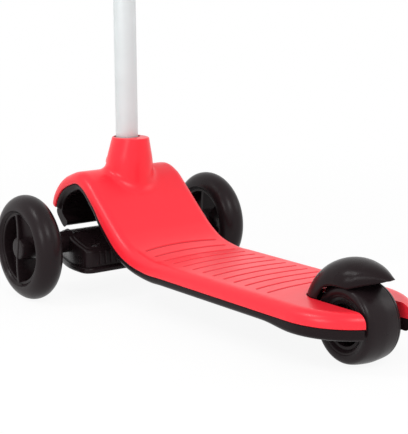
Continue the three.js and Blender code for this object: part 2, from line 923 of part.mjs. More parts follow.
function truckHanger() {
  const shell = plate(truckPlan(0), hangerCornerRadius, hangerBottom, hangerTop + cutOverrun).intersect(
    prismAcross([[-hangerRear, hangerBottom], ...hangerSlope, [hangerFront, hangerBottom]], axleBossReach),
  );
  const axleBosses = [-1, 1].map((side) =>
    rod(axleBossRadius, hangerReach - axleBossBite, axleBossReach, boreSides, "x")
      .scale([side, 1, 1])
      .translate([0, 0, frontTyreRadius]),
  );
  const columns = truckScrewPlaces.map(([x, y]) =>
    rod(truckScrewColumn, 0, hangerTop, screwSides, "z").translate([x, y, 0]),
  );
  const pockets = [-1, 1].map((side) =>
    cut(
      block(
        side < 0 ? [-hangerPocketOuter, -hangerPocketInner] : [hangerPocketInner, hangerPocketOuter],
        [-hangerRear + hangerPocketInset, hangerFront - hangerPocketInset],
        [0, hangerRoof],
      ),
      ...columns,
    ),
  );
  const nutInner = axleNutInset - axleNutHeight - fitGap;
  const nutOuter = axleNutInset + fitGap;
  const nutHalf = axleNutRadius * Math.cos(Math.PI / 6) + fitGap;
  const nutSlots = [-1, 1].map((side) =>
    block(
      side < 0 ? [-nutOuter, -nutInner] : [nutInner, nutOuter],
      [-nutHalf, nutHalf],
      [0, frontTyreRadius + axleNutRadius + fitGap],
    ),
  );
  const axleBores = [-1, 1].map((side) =>
    rod(axleBoreRadius, nutInner - cutOverrun, axleBossReach + cutOverrun, boreSides, "x")
      .scale([side, 1, 1])
      .translate([0, 0, frontTyreRadius]),
  );
  const screwHoles = truckScrewPlaces.map(([x, y]) =>
    joined(
      rod(truckScrewRadius + fitGap, 0, hangerTop + cutOverrun, screwSides, "z"),
      rod(
        truckScrewHeadRadius + fitGap,
        truckScrewHeadTop(y) - truckScrewHeadHeight,
        hangerTop + cutOverrun,
        screwSides,
        "z",
      ),
    ).translate([x, y, 0]),
  );
  const wellRadius = upperBushingRadius + bushingWellGap;
  return cut(
    joined(shell, ...axleBosses),
    ...pockets,
    ...nutSlots,
    ...axleBores,
    ...screwHoles,
    alongKingpin(rod(kingpinRadius + 2 * fitGap, -frontTyreRadius, frontTyreRadius, boreSides, "z")),
    alongKingpin(rod(wellRadius, truckPlateHalf, frontTyreRadius, tubeSides, "z")),
    alongKingpin(rod(lowerBushingRadius + bushingWellGap, -frontTyreRadius, -truckPlateHalf, tubeSides, "z")),
  );
}

function truckUndertray() {
  const bottom = hangerBottom - trayHeight;
  return cut(
    plate(truckPlan(trayLip), hangerCornerRadius + trayLip, bottom, hangerBottom, trayEdge),
    alongKingpin(rod(trayWindowRadius, -frontTyreRadius, -truckPlateHalf, tubeSides, "z")),
    ...truckScrewPlaces.map(([x, y]) =>
      rod(truckScrewRadius + fitGap, hangerBottom - truckScrewBite, hangerTop, screwSides, "z").translate([x, y, 0]),
    ),
  );
}

function truckScrew(y) {
  const foot = hangerBottom - truckScrewBite + fitGap;
  const top = truckScrewHeadTop(y);
  return turned(
    [
      [0, foot],
      [truckScrewRadius, foot],
      [truckScrewRadius, top - truckScrewHeadHeight + fitGap],
      [truckScrewHeadRadius, top - truckScrewHeadHeight + fitGap],
      [truckScrewHeadRadius, top],
      [0, top],
    ],
    screwSides,
  );
}

// Front wheel pieces. Their axle is X, their middle is zero and their outer face looks along +X.
const outerBearingFoot = hubShoulderHalf + fitGap;
const bearingEnd = outerBearingFoot + bearingWidth;
const axleHeadFoot = bearingEnd + fitGap;
const hubCapFoot = axleHeadFoot + axleHeadHeight + fitGap;
const hubCapFace = hubCapFoot + hubCapThickness;
const frontRimRadius = tyreBoreRadius - fitGap;

function frontTyre() {
  const sideRadius = frontTyreWidth / 2;
  const mouthHalf = sideRadius - tyreMouthStep;
  const profile = [
    [tyreBoreRadius, -frontHubHalfWidth],
    [tyreMouthRadius, -mouthHalf],
  ];
  for (let step = 0; step <= tyreSideSteps; step++) {
    const angle = (180 * step) / tyreSideSteps - 90;
    profile.push([
      frontTyreRadius - sideRadius + sideRadius * Math.cos(angle * radians),
      sideRadius * Math.sin(angle * radians),
    ]);
  }
  profile.push([tyreMouthRadius, mouthHalf], [tyreBoreRadius, frontHubHalfWidth]);
  return turned(profile, wheelSides, "x");
}

function hubBlade(startDegrees) {
  const inner = hubBossRadius - bearingRaceWall / 2;
  const outer = frontRimRadius - frontRimWall / 2;
  const sections = [];
  for (let step = 0; step <= bladeSteps; step++) {
    const share = step / bladeSteps;
    const turn = (startDegrees + bladeSweepDegrees * share) * radians;
    const middle = bladeRise * (1 / 2 - share);
    const at = (radius, x) =>
      new THREE.Vector3(x, radius * Math.sin(turn), -radius * Math.cos(turn));
    sections.push([
      at(inner, middle - bladeThickness / 2),
      at(outer, middle - bladeThickness / 2),
      at(outer, middle + bladeThickness / 2),
      at(inner, middle + bladeThickness / 2),
    ]);
  }
  return loft(sections);
}

function frontHub() {
  const ridgeReach = frontRimRadius - frontRimWall / 2;
  const body = joined(
    sleeve(frontRimRadius - frontRimWall, frontRimRadius, -frontHubHalfWidth, frontHubHalfWidth, wheelSides, "x"),
    rod(hubBossRadius, -bearingEnd, hubCapFace, tubeSides, "x"),
    block(
      [-ridgeFoot, ridgeHeight],
      [-ridgeThickness / 2, ridgeThickness / 2],
      [-ridgeReach, ridgeReach],
    ),
    hubBlade(0),
    hubBlade(180),
  );
  return cut(
    body,
    rod(bearingRadius - bearingRaceWall, -frontTyreWidth, frontTyreWidth, boreSides, "x"),
    rod(bearingSeatRadius, hubShoulderHalf, frontTyreWidth, tubeSides, "x"),
    rod(bearingSeatRadius, -frontTyreWidth, -hubShoulderHalf, tubeSides, "x"),
  );
}

const bearing = (foot) =>
  turned(
    [
      [axleBoreRadius, foot],
      [axleBoreRadius + bearingRaceWall, foot],
      [axleBoreRadius + bearingRaceWall, foot + bearingGroove],
      [bearingRadius - bearingRaceWall, foot + bearingGroove],
      [bearingRadius - bearingRaceWall, foot],
      [bearingRadius, foot],
      [bearingRadius, foot + bearingWidth],
      [axleBoreRadius, foot + bearingWidth],
    ],
    boreSides,
    "x",
  );

const frontAxle = () => {
  const tail = axleNutInset - axleNutHeight - axleTail - frontTrack / 2;
  return turned(
    [
      [0, tail],
      [axleRadius, tail],
      [axleRadius, axleHeadFoot],
      [axleHeadRadius, axleHeadFoot],
      [axleHeadRadius, axleHeadFoot + axleHeadHeight],
      [0, axleHeadFoot + axleHeadHeight],
    ],
    boreSides,
    "x",
  );
};

const axleNut = () =>
  cut(
    rod(axleNutRadius, axleNutInset - axleNutHeight, axleNutInset, 6, "x"),
    rod(axleBoreRadius, 0, frontTrack, boreSides, "x"),
  ).translate([-frontTrack / 2, 0, 0]);

const frontAxleSpacer = () =>
  sleeve(
    axleBoreRadius,
    axleBoreRadius + axleSpacerWall,
    axleBossReach + fitGap - frontTrack / 2,
    -bearingEnd - fitGap,
    boreSides,
    "x",
  );

const hubCap = () => rod(bearingRadius, hubCapFoot, hubCapFace, tubeSides, "x");

// Rear wheel pieces, with the axle along X and the middle at zero
function rearTyre() {
  const half = rearTyreWidth / 2;
  const side = [
    [rearTyreBoreRadius, rearHubHalfWidth],
    [rearTyreBoreRadius + rearTyreBeadStep, half - rearCrownDrop],
    [rearTyreRadius - rearWallDrop, half],
    [rearTyreRadius - rearShoulderDrop, half - rearCrownDrop],
    ...rearTreadShares.map(([drop, across]) => [rearTyreRadius - rearCrownDrop * drop, half * across]),
  ];
  const mirrored = side.map(([radius, x]) => [radius, -x]);
  return turned([...mirrored, [rearTyreRadius, 0], ...side.toReversed()], wheelSides, "x");
}

const rearBearingFoot = rearShoulderHalf + fitGap;
const rearBearingEnd = rearBearingFoot + bearingWidth;

function rearHub() {
  const rim = rearTyreBoreRadius - fitGap;
  const body = joined(
    sleeve(rim - rearHubWall, rim, -rearHubHalfWidth, rearHubHalfWidth, wheelSides, "x"),
    rod(rim - rearHubWall / 2, -rearHubWeb / 2, rearHubWeb / 2, wheelSides, "x"),
    rod(hubBossRadius, -rearBearingEnd, rearBearingEnd, tubeSides, "x"),
  );
  return cut(
    body,
    rod(bearingRadius - bearingRaceWall, -rearTyreWidth, rearTyreWidth, boreSides, "x"),
    rod(bearingSeatRadius, rearShoulderHalf, rearTyreWidth, tubeSides, "x"),
    rod(bearingSeatRadius, -rearTyreWidth, -rearShoulderHalf, tubeSides, "x"),
  );
}

// The fender's sections stand on rays from the rear axle, each an arch from side edge to side edge.
function brakeFender() {
  const sections = fenderAngleShares.map(([angle, crownShare, edgeShare, widthShare]) => {
    const crown = fenderRadius + (fenderTipRadius - fenderRadius) * crownShare;
    const edge = fenderEdgeRadius + (fenderTipRadius - fenderEdgeRadius) * edgeShare;
    const half = fenderHalfWidth + (fenderTipHalfWidth - fenderHalfWidth) * widthShare;
    const arch = (wall) => {
      const points = [];
      for (let i = -fenderSideSteps; i <= fenderSideSteps; i++) {
        const lean = (i / fenderSideSteps) * 90 * radians;
        const radius = edge + (crown - edge - wall) * Math.cos(lean);
        points.push(
          new THREE.Vector3(
            (half - wall) * Math.sin(lean),
            radius * Math.cos(angle * radians),
            radius * Math.sin(angle * radians),
          ),
        );
      }
      return points;
    };
    return { outer: arch(0), inner: arch(fenderWall) };
  });
  // The outer arch runs on into the inner one, so the rungs at both ends join outer to inner.
  const hood = loft(sections.map(({ outer, inner }) => [...outer, ...inner.reverse()]));
  const footHeight = deckHeight + fenderFootGap - rearAxleHeight;
  const belowFoot = block(
    [-deckHalfWidth, deckHalfWidth],
    [-fenderTipRadius, 2 * fenderTipRadius],
    [-rearTyreRadius, footHeight],
  );
  const pinY = brakePinY + wheelbase;
  const pinZ = brakePinZ - rearAxleHeight;
  const ears = [-1, 1].map((side) => {
    const across = side < 0 ? [-brakeBarrelOuter, -brakeBarrelInner] : [brakeBarrelInner, brakeBarrelOuter];
    return joined(
      rod(brakeBarrelRadius, ...across, boreSides, "x").translate([0, pinY, pinZ]),
      block(across, [pinY - brakeWebSetback, pinY + brakeWebSetback], [pinZ, pinZ + brakeWebRise]),
    );
  });
  const pinBore = rod(brakePinRadius + fitGap, -deckHalfWidth, deckHalfWidth, screwSides, "x");
  return cut(joined(cut(hood, belowFoot), ...ears), pinBore.translate([0, pinY, pinZ]));
}

function brakeShoe() {
  const inner = rearTyreRadius + brakeShoeGap;
  const ray = (radius, angle) => [
    radius * Math.cos(angle * radians),
    radius * Math.sin(angle * radians),
  ];
  const angles = [];
  for (let step = 0; step <= shoeSteps; step++) {
    angles.push(brakeShoeStartDegrees + (brakeShoeSweepDegrees * step) / shoeSteps);
  }
  return prismAcross(
    [
      ...angles.map((angle) => ray(inner, angle)),
      ...angles.toReversed().map((angle) => ray(inner + brakeShoeThickness, angle)),
    ],
    brakeShoeHalfWidth,
  );
}

const brakeSpring = () =>
  sleeve(
    brakePinRadius + fitGap,
    brakePinRadius + fitGap + brakeSpringWall,
    -brakeBarrelInner + fitGap,
    brakeBarrelInner - fitGap,
    screwSides,
    "x",
  );

const brakePin = () => rod(brakePinRadius, -slotHalfWidth - brakePinBite, slotHalfWidth + brakePinBite, screwSides, "x");

// Handlebar pieces, about the stem's own line
const stemTop = crossbarHeight - crossbarRadius - crossbarWall - fitGap;
const teeScrewHeight = crossbarHeight - teeScrewDrop;
const teeOuterRadius = stemBoreRadius + teeWall;

function stemTube() {
  return cut(
    sleeve(stemRadius - stemWall, stemRadius, stemBottom, stemTop, tubeSides, "z"),
    rod(noseHoleRadius, 0, 2 * stemRadius, boreSides, "y").translate([0, 0, catchHeight]),
    rod(teeScrewRadius + fitGap, -2 * stemRadius, 0, screwSides, "y").translate([0, 0, teeScrewHeight]),
  );
}

function snapCatch() {
  const innerRadius = stemRadius - stemWall;
  const reach = Math.sqrt(innerRadius ** 2 - catchLeafHalfWidth ** 2) - fitGap;
  const across = [-catchLeafHalfWidth, catchLeafHalfWidth];
  const foot = stemBottom + catchFootRise;
  return joined(
    block(across, [reach - catchLeaf, reach], [foot - catchLeaf, catchHeight + catchFrontLeg]),
    block(across, [-reach, reach], [foot - catchLeaf, foot]),
    block(across, [-reach, -reach + catchLeaf], [foot - catchLeaf, foot + catchRearLeg]),
    rod(catchNoseRadius, reach - catchLeaf / 2, stemRadius + catchNoseReach, boreSides, "y").translate([
      0,
      0,
      catchHeight,
    ]),
  );
}

function teeJoint() {
  const upright = turned(
    [
      [0, crossbarHeight - teeDrop],
      [teeOuterRadius, crossbarHeight - teeDrop],
      [teeOuterRadius, crossbarHeight - crossbarRadius],
      [crossbarRadius + teeWall, crossbarHeight],
      [0, crossbarHeight],
    ],
    tubeSides,
  );
  const across = rod(crossbarRadius + teeWall, -teeHalfLength, teeHalfLength, tubeSides, "x");
  return cut(
    joined(upright, across.translate([0, 0, crossbarHeight])),
    rod(stemBoreRadius, 0, stemTop + fitGap, tubeSides, "z"),
    rod(crossbarRadius + fitGap, -crossbarHalfLength, crossbarHalfLength, tubeSides, "x").translate([
      0,
      0,
      crossbarHeight,
    ]),
    rod(teeScrewRadius + fitGap, -2 * teeOuterRadius, 0, screwSides, "y").translate([0, 0, teeScrewHeight]),
    rod(teeScrewHeadRadius + fitGap, -2 * teeOuterRadius, -teeOuterRadius + fitGap, screwSides, "y").translate([
      0,
      0,
      teeScrewHeight,
    ]),
  );
}

const teeScrew = () =>
  turned(
    [
      [0, -teeOuterRadius - teeScrewHeadHeight],
      [teeScrewHeadRadius, -teeOuterRadius - teeScrewHeadHeight],
      [teeScrewHeadRadius, -teeOuterRadius],
      [teeScrewRadius, -teeOuterRadius],
      [teeScrewRadius, -teeOuterRadius + teeScrewLength],
      [0, -teeOuterRadius + teeScrewLength],
    ],
    screwSides,
    "y",
  );

function grip() {
  const bore = crossbarRadius + fitGap;
  const outer = bore + gripWall;
  const boreEnd = crossbarHalfLength + fitGap;
  const end = boreEnd + gripEndWall;
  const pitch = (end - gripStart - 2 * gripFlangeWidth) / gripRibCount;
  const profile = [
    [0, boreEnd],
    [bore, boreEnd],
    [bore, gripStart],
    [outer + gripFlange, gripStart],
    [outer + gripFlange, gripStart + gripFlangeWidth],
  ];
  for (let i = 0; i < gripRibCount; i++) {
    const foot = gripStart + gripFlangeWidth + i * pitch;
    profile.push([outer - gripRibDepth, foot + pitch * gripValleyShare], [outer, foot + pitch / 2]);
  }
  profile.push(
    [outer - gripRibDepth, end - gripFlangeWidth],
    [outer + gripRibDepth, end - gripFlangeWidth],
    [outer, end],
    [0, end],
  );
  return turned(profile, tubeSides, "x");
}

function releaseButton() {
  return cut(
    rod(buttonRadius, buttonBack, buttonBack + buttonLength, boreSides, "y"),
    rod(
      noseHoleRadius + releaseSpringWall + fitGap,
      -stemRadius,
      buttonFloor + fitGap + releaseSpringLength + fitGap,
      boreSides,
      "y",
    ),
  );
}

const releaseSpring = () =>
  sleeve(
    noseHoleRadius,
    noseHoleRadius + releaseSpringWall,
    buttonFloor + fitGap,
    buttonFloor + fitGap + releaseSpringLength,
    boreSides,
    "y",
  );

const stemBush = () =>
  turned(
    [
      [stemBoreRadius, neckTop - stemBushDepth],
      [stemBoreRadius + stemBushWall, neckTop - stemBushDepth],
      [stemBoreRadius + stemBushWall, neckTop + fitGap],
      [stemBoreRadius + stemBushWall + stemBushFlange, neckTop + fitGap],
      [stemBoreRadius + stemBushWall, neckTop + fitGap + stemBushFlange],
      [stemBoreRadius, neckTop + fitGap + stemBushFlange],
    ],
    tubeSides,
  );

// The scooter, put together from groups that stand where each set of pieces has its own centre
function group(parent, position = [0, 0, 0]) {
  const made = new THREE.Group();
  made.position.set(...position);
  parent.add(made);
  return made;
}

function piece(parent, name, body, material, position = [0, 0, 0]) {
  const mesh = new THREE.Mesh(geometryOf(body), material);
  mesh.name = name;
  mesh.position.set(...position);
  parent.add(mesh);
}

const scooter = new THREE.Group();
const standing = group(scooter, [0, middleOfLength, 0]);

const deck = group(standing);
piece(deck, "deck_shell", deckShell(), redPlastic);
piece(deck, "under_frame", underFrame(), blackPlastic);
deckScrewPlaces.forEach(([x, y], i) => {
  const screw = screwUp(deckScrewRadius, deckScrewHeadRadius, deckScrewHeadHeight, deckScrewLength);
  piece(deck, `deck_screw_${i + 1}`, screw, zincSteel, [x, y, panBottom]);
});
piece(deck, "stem_bush", stemBush(), blackPlastic, [0, -stemSetback, 0]);
piece(deck, "release_button", releaseButton(), blackPlastic, [0, 0, catchHeight]);
piece(deck, "release_spring", releaseSpring(), zincSteel, [0, 0, catchHeight]);
piece(deck, "brake_pin", brakePin(), zincSteel, [0, brakePinY, brakePinZ]);

const steering = group(deck, [0, 0, frontTyreRadius]);
steering.rotation.x = -kingpinLeanDegrees * radians;
piece(steering, "kingpin", kingpin(), zincSteel);
piece(steering, "kingpin_nut", hexagon(kingpinHexRadius, 0, kingpinNutHeight, kingpinBoreRadius), zincSteel, [
  0,
  0,
  kingpinNutSeat,
]);
piece(steering, "upper_bushing", bushing(upperBushingRadius, upperBushingHeight), bushingRubber, [
  0,
  0,
  upperBushingFoot,
]);
piece(steering, "lower_bushing", bushing(lowerBushingRadius, lowerBushingHeight), bushingRubber, [
  0,
  0,
  lowerBushingTop - lowerBushingHeight,
]);
const washer = (radius) => sleeve(kingpinBoreRadius, radius, 0, washerHeight, boreSides, "z");
piece(steering, "upper_washer", washer(upperBushingRadius), zincSteel, [0, 0, upperWasherFoot]);
piece(steering, "lower_washer", washer(lowerBushingRadius), zincSteel, [0, 0, lowerWasherTop - washerHeight]);

const truck = group(standing);
piece(truck, "truck_hanger", truckHanger(), blackPlastic);
piece(truck, "truck_undertray", truckUndertray(), blackPlastic);
truckScrewPlaces.forEach(([x, y], i) => {
  piece(truck, `truck_screw_${i + 1}`, truckScrew(y), zincSteel, [x, y, 0]);
});

for (const [side, turn, sign] of [["left", Math.PI, -1], ["right", 0, 1]]) {
  const wheel = group(truck, [(sign * frontTrack) / 2, 0, frontTyreRadius]);
  wheel.rotation.z = turn;
  piece(wheel, `${side}_tyre`, frontTyre(), wheelRubber);
  piece(wheel, `${side}_hub`, frontHub(), blackPlastic);
  piece(wheel, `${side}_outer_bearing`, bearing(outerBearingFoot), zincSteel);
  piece(wheel, `${side}_inner_bearing`, bearing(-bearingEnd), zincSteel);
  piece(wheel, `${side}_hub_cap`, hubCap(), blackPlastic);
  piece(wheel, `${side}_axle`, frontAxle(), zincSteel);
  piece(wheel, `${side}_axle_nut`, axleNut(), zincSteel);
  piece(wheel, `${side}_axle_spacer`, frontAxleSpacer(), zincSteel);
}

const rearWheel = group(standing, [0, -wheelbase, rearAxleHeight]);
piece(rearWheel, "rear_tyre", rearTyre(), wheelRubber);
piece(rearWheel, "rear_hub", rearHub(), blackPlastic);
piece(rearWheel, "rear_right_bearing", bearing(rearBearingFoot), zincSteel);
piece(rearWheel, "rear_left_bearing", bearing(-rearBearingEnd), zincSteel);
piece(rearWheel, "rear_axle", rod(axleRadius, -rearAxleHalf, rearAxleHalf, boreSides, "x"), zincSteel);
const rearSpacer = () =>
  sleeve(axleBoreRadius, axleBoreRadius + axleSpacerWall, rearBearingEnd + fitGap, slotHalfWidth, boreSides, "x");
piece(rearWheel, "rear_right_spacer", rearSpacer(), zincSteel);
piece(rearWheel, "rear_left_spacer", rearSpacer().scale([-1, 1, 1]), zincSteel);
for (const [side, sign] of [["left", -1], ["right", 1]]) {
  const [x, y] = keeperScrewPlaces[sign < 0 ? 0 : 1];
  const screw = screwUp(keeperScrewRadius, keeperScrewHeadRadius, keeperScrewHeadHeight, keeperScrewLength);
  piece(deck, `${side}_axle_keeper`, axleKeeper(sign), blackPlastic);
  piece(deck, `${side}_keeper_screw`, screw, zincSteel, [x, y, armBottom]);
}

const brake = group(standing, [0, -wheelbase, rearAxleHeight]);
piece(brake, "brake_fender", brakeFender(), blackPlastic);
piece(brake, "brake_shoe", brakeShoe(), blackPlastic);
piece(standing, "brake_spring", brakeSpring(), zincSteel, [0, brakePinY, brakePinZ]);

const handlebar = group(standing, [0, -stemSetback, 0]);
piece(handlebar, "stem_tube", stemTube(), bareAluminium);
piece(handlebar, "snap_catch", snapCatch(), zincSteel);
piece(handlebar, "tee_joint", teeJoint(), blackPlastic);
piece(handlebar, "tee_screw", teeScrew(), zincSteel, [0, 0, teeScrewHeight]);
const bar = sleeve(crossbarRadius - crossbarWall, crossbarRadius, -crossbarHalfLength, crossbarHalfLength, tubeSides, "x");
piece(handlebar, "crossbar", bar, bareAluminium, [0, 0, crossbarHeight]);
piece(handlebar, "right_grip", grip(), gripRubber, [0, 0, crossbarHeight]);
piece(handlebar, "left_grip", grip().scale([-1, 1, 1]), gripRubber, [0, 0, crossbarHeight]);

export default scooter;
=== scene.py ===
"""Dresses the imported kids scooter: its finished surfaces, its floor, its light and its camera."""

import json
import math
from functools import partial
from types import SimpleNamespace

import bmesh
import bpy
import numpy as np
from mathutils import Matrix, Vector


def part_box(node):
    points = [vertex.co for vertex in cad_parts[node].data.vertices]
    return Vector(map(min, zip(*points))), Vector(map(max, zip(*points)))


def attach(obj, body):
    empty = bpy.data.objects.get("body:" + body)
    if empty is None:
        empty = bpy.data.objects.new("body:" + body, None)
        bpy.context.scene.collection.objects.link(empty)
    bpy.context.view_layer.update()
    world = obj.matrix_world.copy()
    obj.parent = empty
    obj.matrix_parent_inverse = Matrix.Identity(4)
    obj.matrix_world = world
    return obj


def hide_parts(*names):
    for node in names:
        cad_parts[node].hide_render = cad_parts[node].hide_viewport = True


bl_info = {
    "name": "Three wheel kids scooter",
    "version": (1, 0, 0),
    "blender": (4, 5, 0),
    "location": "3D View > Sidebar > Scooter",
    "description": "Makes the finished surfaces of a lean-to-steer kids scooter",
    "category": "Add Mesh",
}

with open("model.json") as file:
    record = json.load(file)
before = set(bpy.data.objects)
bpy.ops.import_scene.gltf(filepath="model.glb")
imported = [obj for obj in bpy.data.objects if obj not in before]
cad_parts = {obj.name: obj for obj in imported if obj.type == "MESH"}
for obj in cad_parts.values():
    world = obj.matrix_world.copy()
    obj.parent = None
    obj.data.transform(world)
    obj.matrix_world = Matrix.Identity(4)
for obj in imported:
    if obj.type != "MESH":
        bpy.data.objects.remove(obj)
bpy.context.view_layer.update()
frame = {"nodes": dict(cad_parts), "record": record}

# Everything below is in millimetres, from the floor under the middle of the front axle.
MM = 0.001
FLOOR_UNDER_AXLE = np.array([0, sum(corner.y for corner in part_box("right_tyre")) / 2, 0])


def packed(node):
    """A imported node's lowest and highest corner, its middle and half its size."""
    low, high = [(np.array(corner) - FLOOR_UNDER_AXLE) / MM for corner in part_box(node)]
    return SimpleNamespace(low=low, high=high, middle=(low + high) / 2, half=(high - low) / 2)


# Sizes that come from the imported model
FRONT, REAR, SHELL = packed("right_tyre"), packed("rear_tyre"), packed("deck_shell")
STEM, BAR, BUTTON = packed("stem_tube"), packed("crossbar"), packed("release_button")
FRONT_RADIUS, REAR_RADIUS = FRONT.half[2], REAR.half[2]
FRONT_MIDDLE = np.array([FRONT.middle[0], 0, FRONT_RADIUS])
REAR_MIDDLE = np.array([0, REAR.middle[1], REAR_RADIUS])
WHEELBASE = -REAR_MIDDLE[1]
DECK_HALF, NECK_TOP = SHELL.high[0], SHELL.high[2]
STEM_RADIUS, STEM_Y = STEM.half[0], STEM.middle[1]
BAR_RADIUS, BAR_HALF, BAR_HEIGHT = BAR.half[2], BAR.high[0], BAR.middle[2]
BAR_MIDDLE = (0, STEM_Y, BAR_HEIGHT)
BUTTON_RADIUS, BUTTON_HEIGHT = BUTTON.half[2], BUTTON.middle[2]

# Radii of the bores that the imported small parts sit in
FIT_GAP = 0.3
AXLE_BORE, PIN_BORE, HUB_CLEARANCE, BEARING_SEAT, NOSE_BORE = 4.3, 2.8, 8.8, 11.3, 4.1
DECK_SCREW_BORE, DECK_SCREW_HEAD, DECK_SCREW_END = 2.2, 4.3, 57
TRUCK_SCREW_BORE, TRUCK_SCREW_HEAD, TRUCK_SCREW_SEAT = 2.3, 4.7, 3
TEE_SCREW_BORE, TEE_SCREW_HEAD, TEE_SCREW_DROP = 2.7, 4.7, 34
KEEPER_SCREW_BORE, KEEPER_SCREW_X, KEEPER_SCREW_BEHIND, KEEPER_SCREW_END = 1.8, 40, 8.4, 44.3
KINGPIN_BORE, KINGPIN_NUT_BORE, KINGPIN_NUT_FROM, KINGPIN_TOP = 5.3, 9.1, 37.7, 64
# Kingpin cutters of the truck: a radius, then how far below and above the axle each starts and ends
TRUCK_KINGPIN, UPPER_BUSHING, LOWER_BUSHING = (5.6, -60, 60), (16.5, 6, 60), (14.5, -60, -6)
TRAY_KINGPIN = (17, -60, -6)
# Seats: how far out along the axle they start and end, then how far they reach along the deck or up
SADDLE_HALF = 47.6
KEEPER_SEAT, KEEPER_HALF, KEEPER_DEPTH = (32.7, 47.3), 12.3, 4
AXLE_NUT_SLOT, AXLE_NUT_HALF, AXLE_NUT_TOP = (91.8, 98.8), 6.4, 67.3
FRONT_AXLE_HOLE = (85.8, 114)

# How far a form runs past what it is joined with or cut from, and how far a drill runs through a hub
OVERRUN, THROUGH = 6, 40
# Where points count as one, in metres, a cutter's rim edge, and the angle from which an edge is shaded sharp
MERGE, SHARP, SHADE_DEGREES = 2e-6, 0.01, 38
# Where the rows of an inner form stop following the arch, and the degrees round the tail where all rows stop
LEVEL_START, TAIL_DEGREES = -170, 67
# Behind the front axle: where the bow of the grooves sets in, and where it fades out again
BOW_START, BOW_END = (85, 108), (348, 378)
# The hole in the deck's top that the neck's own skin fills: half its width, then its front and its rear
NECK_HOLE_HALF, NECK_HOLE_ENDS = 42, (28, -68)
# The deck's screws: in from its sides, then behind the arch's foot and ahead of the slot's front
SCREWS_INSET, SCREWS_BEHIND_ARCH, SCREWS_AHEAD_OF_SLOT = 25, 22, 26
# The brake's pin: behind the slot's front, below the deck's top, and how far its hole runs past the slot
PIN_BEHIND, PIN_DROP, PIN_PAST_SLOT = 9, 5, 3.5
# Bosses for the deck's screws, and the foot and the tip of the holes in them
SCREW_BOSS_RADIUS, SCREW_BOSS_FOOT, SCREW_HOLE_FOOT, SCREW_HOLE_TIP = 4.8, 41, 30, 52.3
# The brake shoe: degrees about the rear axle, then how far above the tyre it starts and ends, and half its width
SHOE_DEGREES, SHOE_GAP, SHOE_TOP, SHOE_HALF = (70, 105), 3, 16, 12.4
BUTTON_SPRING_BORE = 5.3
SIDES = {-1: "left", 1: "right"}

# Outline shares of the deck's top line, front to back: a share of the arch's length, then of its rise
ARCH_FRONT_SHARES = [(1, 0.455), (0.914, 0.6), (0.736, 0.757), (0.524, 0.87), (0.276, 0.947), (0.03, 0.999)]
ARCH_REAR_SHARES = [
    (0.067, 1), (0.177, 0.915), (0.305, 0.718), (0.419, 0.533), (0.524, 0.365),
    (0.628, 0.214), (0.769, 0.077), (1, 0), (1.12, 0),
]
# The red side's depth along the arch: a share of the path, then a share of the skirt's height
SKIRT_SHARES = [
    (0, 0.96), (0.3, 0.91), (0.49, 0.9), (0.57, 1.08), (0.65, 1.15), (0.72, 1.18), (0.81, 1.08), (1, 1), (1.2, 1),
]
# Neck sections: a share of its height below the rim, then width, length and setback as shares of the rim's
NECK_SHARES = [
    (0, 1, 1, 1), (0.2, 1.17, 1.07, 0.92), (0.4, 1.32, 1.14, 0.85), (0.65, 1.39, 1.17, 0.78), (1, 1.45, 1.19, 0.74),
]
# The frame's curl under the arch's front end, as shares of its drop
NOSE_SHARES = [
    (-0.15, 0.1), (-0.02, -0.02), (0.12, -0.32), (-0.17, -0.71), (-0.57, -1), (-0.8, -0.76), (-0.47, -0.5),
    (-0.31, -0.28), (-0.42, 0.1),
]
# Fender sections: degrees about the rear axle, then shares of the way to the tip for crown, edge and width
FENDER_SHARES = [
    (14, 0, -0.1, 0), (38, 0, -0.1, 0), (62, 0, 0, 0.02), (74, 0, -0.02, 0.03), (86, 0, -0.04, 0.04),
    (96, 0.02, -0.045, 0.08), (104, 0.1, -0.04, 0.17), (108, 0.18, 0.03, 0.24), (113, 0.31, 0.13, 0.36),
    (118, 0.46, 0.27, 0.5), (122.5, 0.62, 0.42, 0.64), (127, 0.78, 0.62, 0.8), (132, 1, 0.94, 1),
]
# Rows over a groove, from its middle out, as shares of its half width
GROOVE_ROW_SHARES = np.array([0.35, 0.75, 1.1, 1.4, 1.7, 2.1]) / 1.4
# Columns across the deck's top on one side, close together where a groove ends
TOP_COLUMNS = [56, 54, 52, 50.6, 50, 49.4, 48.8, 48.2, 47.5, 46.5, 45, 43.5, *range(42, 1, -4)]
# Rows and columns of the hanger's top near its rim, as distances in from the rim
RIM_STEPS = np.array([0, 0.25, 0.6, 1.1, 1.7, 2.4, 3.2, 4.4, 5.3, 5.7, 6.2, 7.4, 7.8, 8.3])
# Truck screws in the order of their numbers: in from the hanger's end, then ahead of the axle
TRUCK_SCREWS = [(14, 3), (19, -40)]


def properties(kind, settings, **rows):
    """Sidebar properties named after their keys, each from its default and its description."""
    return {
        key: kind(name=key.replace("_", " ").capitalize(), description=text, default=value, **settings)
        for key, (value, text) in rows.items()
    }


def scaled(unit, settings):
    """Properties whose defaults are given in another unit, such as millimetres or degrees."""
    return lambda **rows: properties(
        bpy.props.FloatProperty, settings, **{key: (value * unit, text) for key, (value, text) in rows.items()}
    )


lengths = scaled(MM, {"unit": "LENGTH", "precision": 4})
angles = scaled(math.pi / 180, {"subtype": "ANGLE"})
powers = scaled(1, {"unit": "POWER"})
shares = scaled(1, {"min": 0, "max": 1, "subtype": "FACTOR"})
counts = partial(properties, bpy.props.IntProperty, {"min": 1})
colours = partial(properties, bpy.props.FloatVectorProperty, {"size": 3, "min": 0, "max": 1, "subtype": "COLOR"})


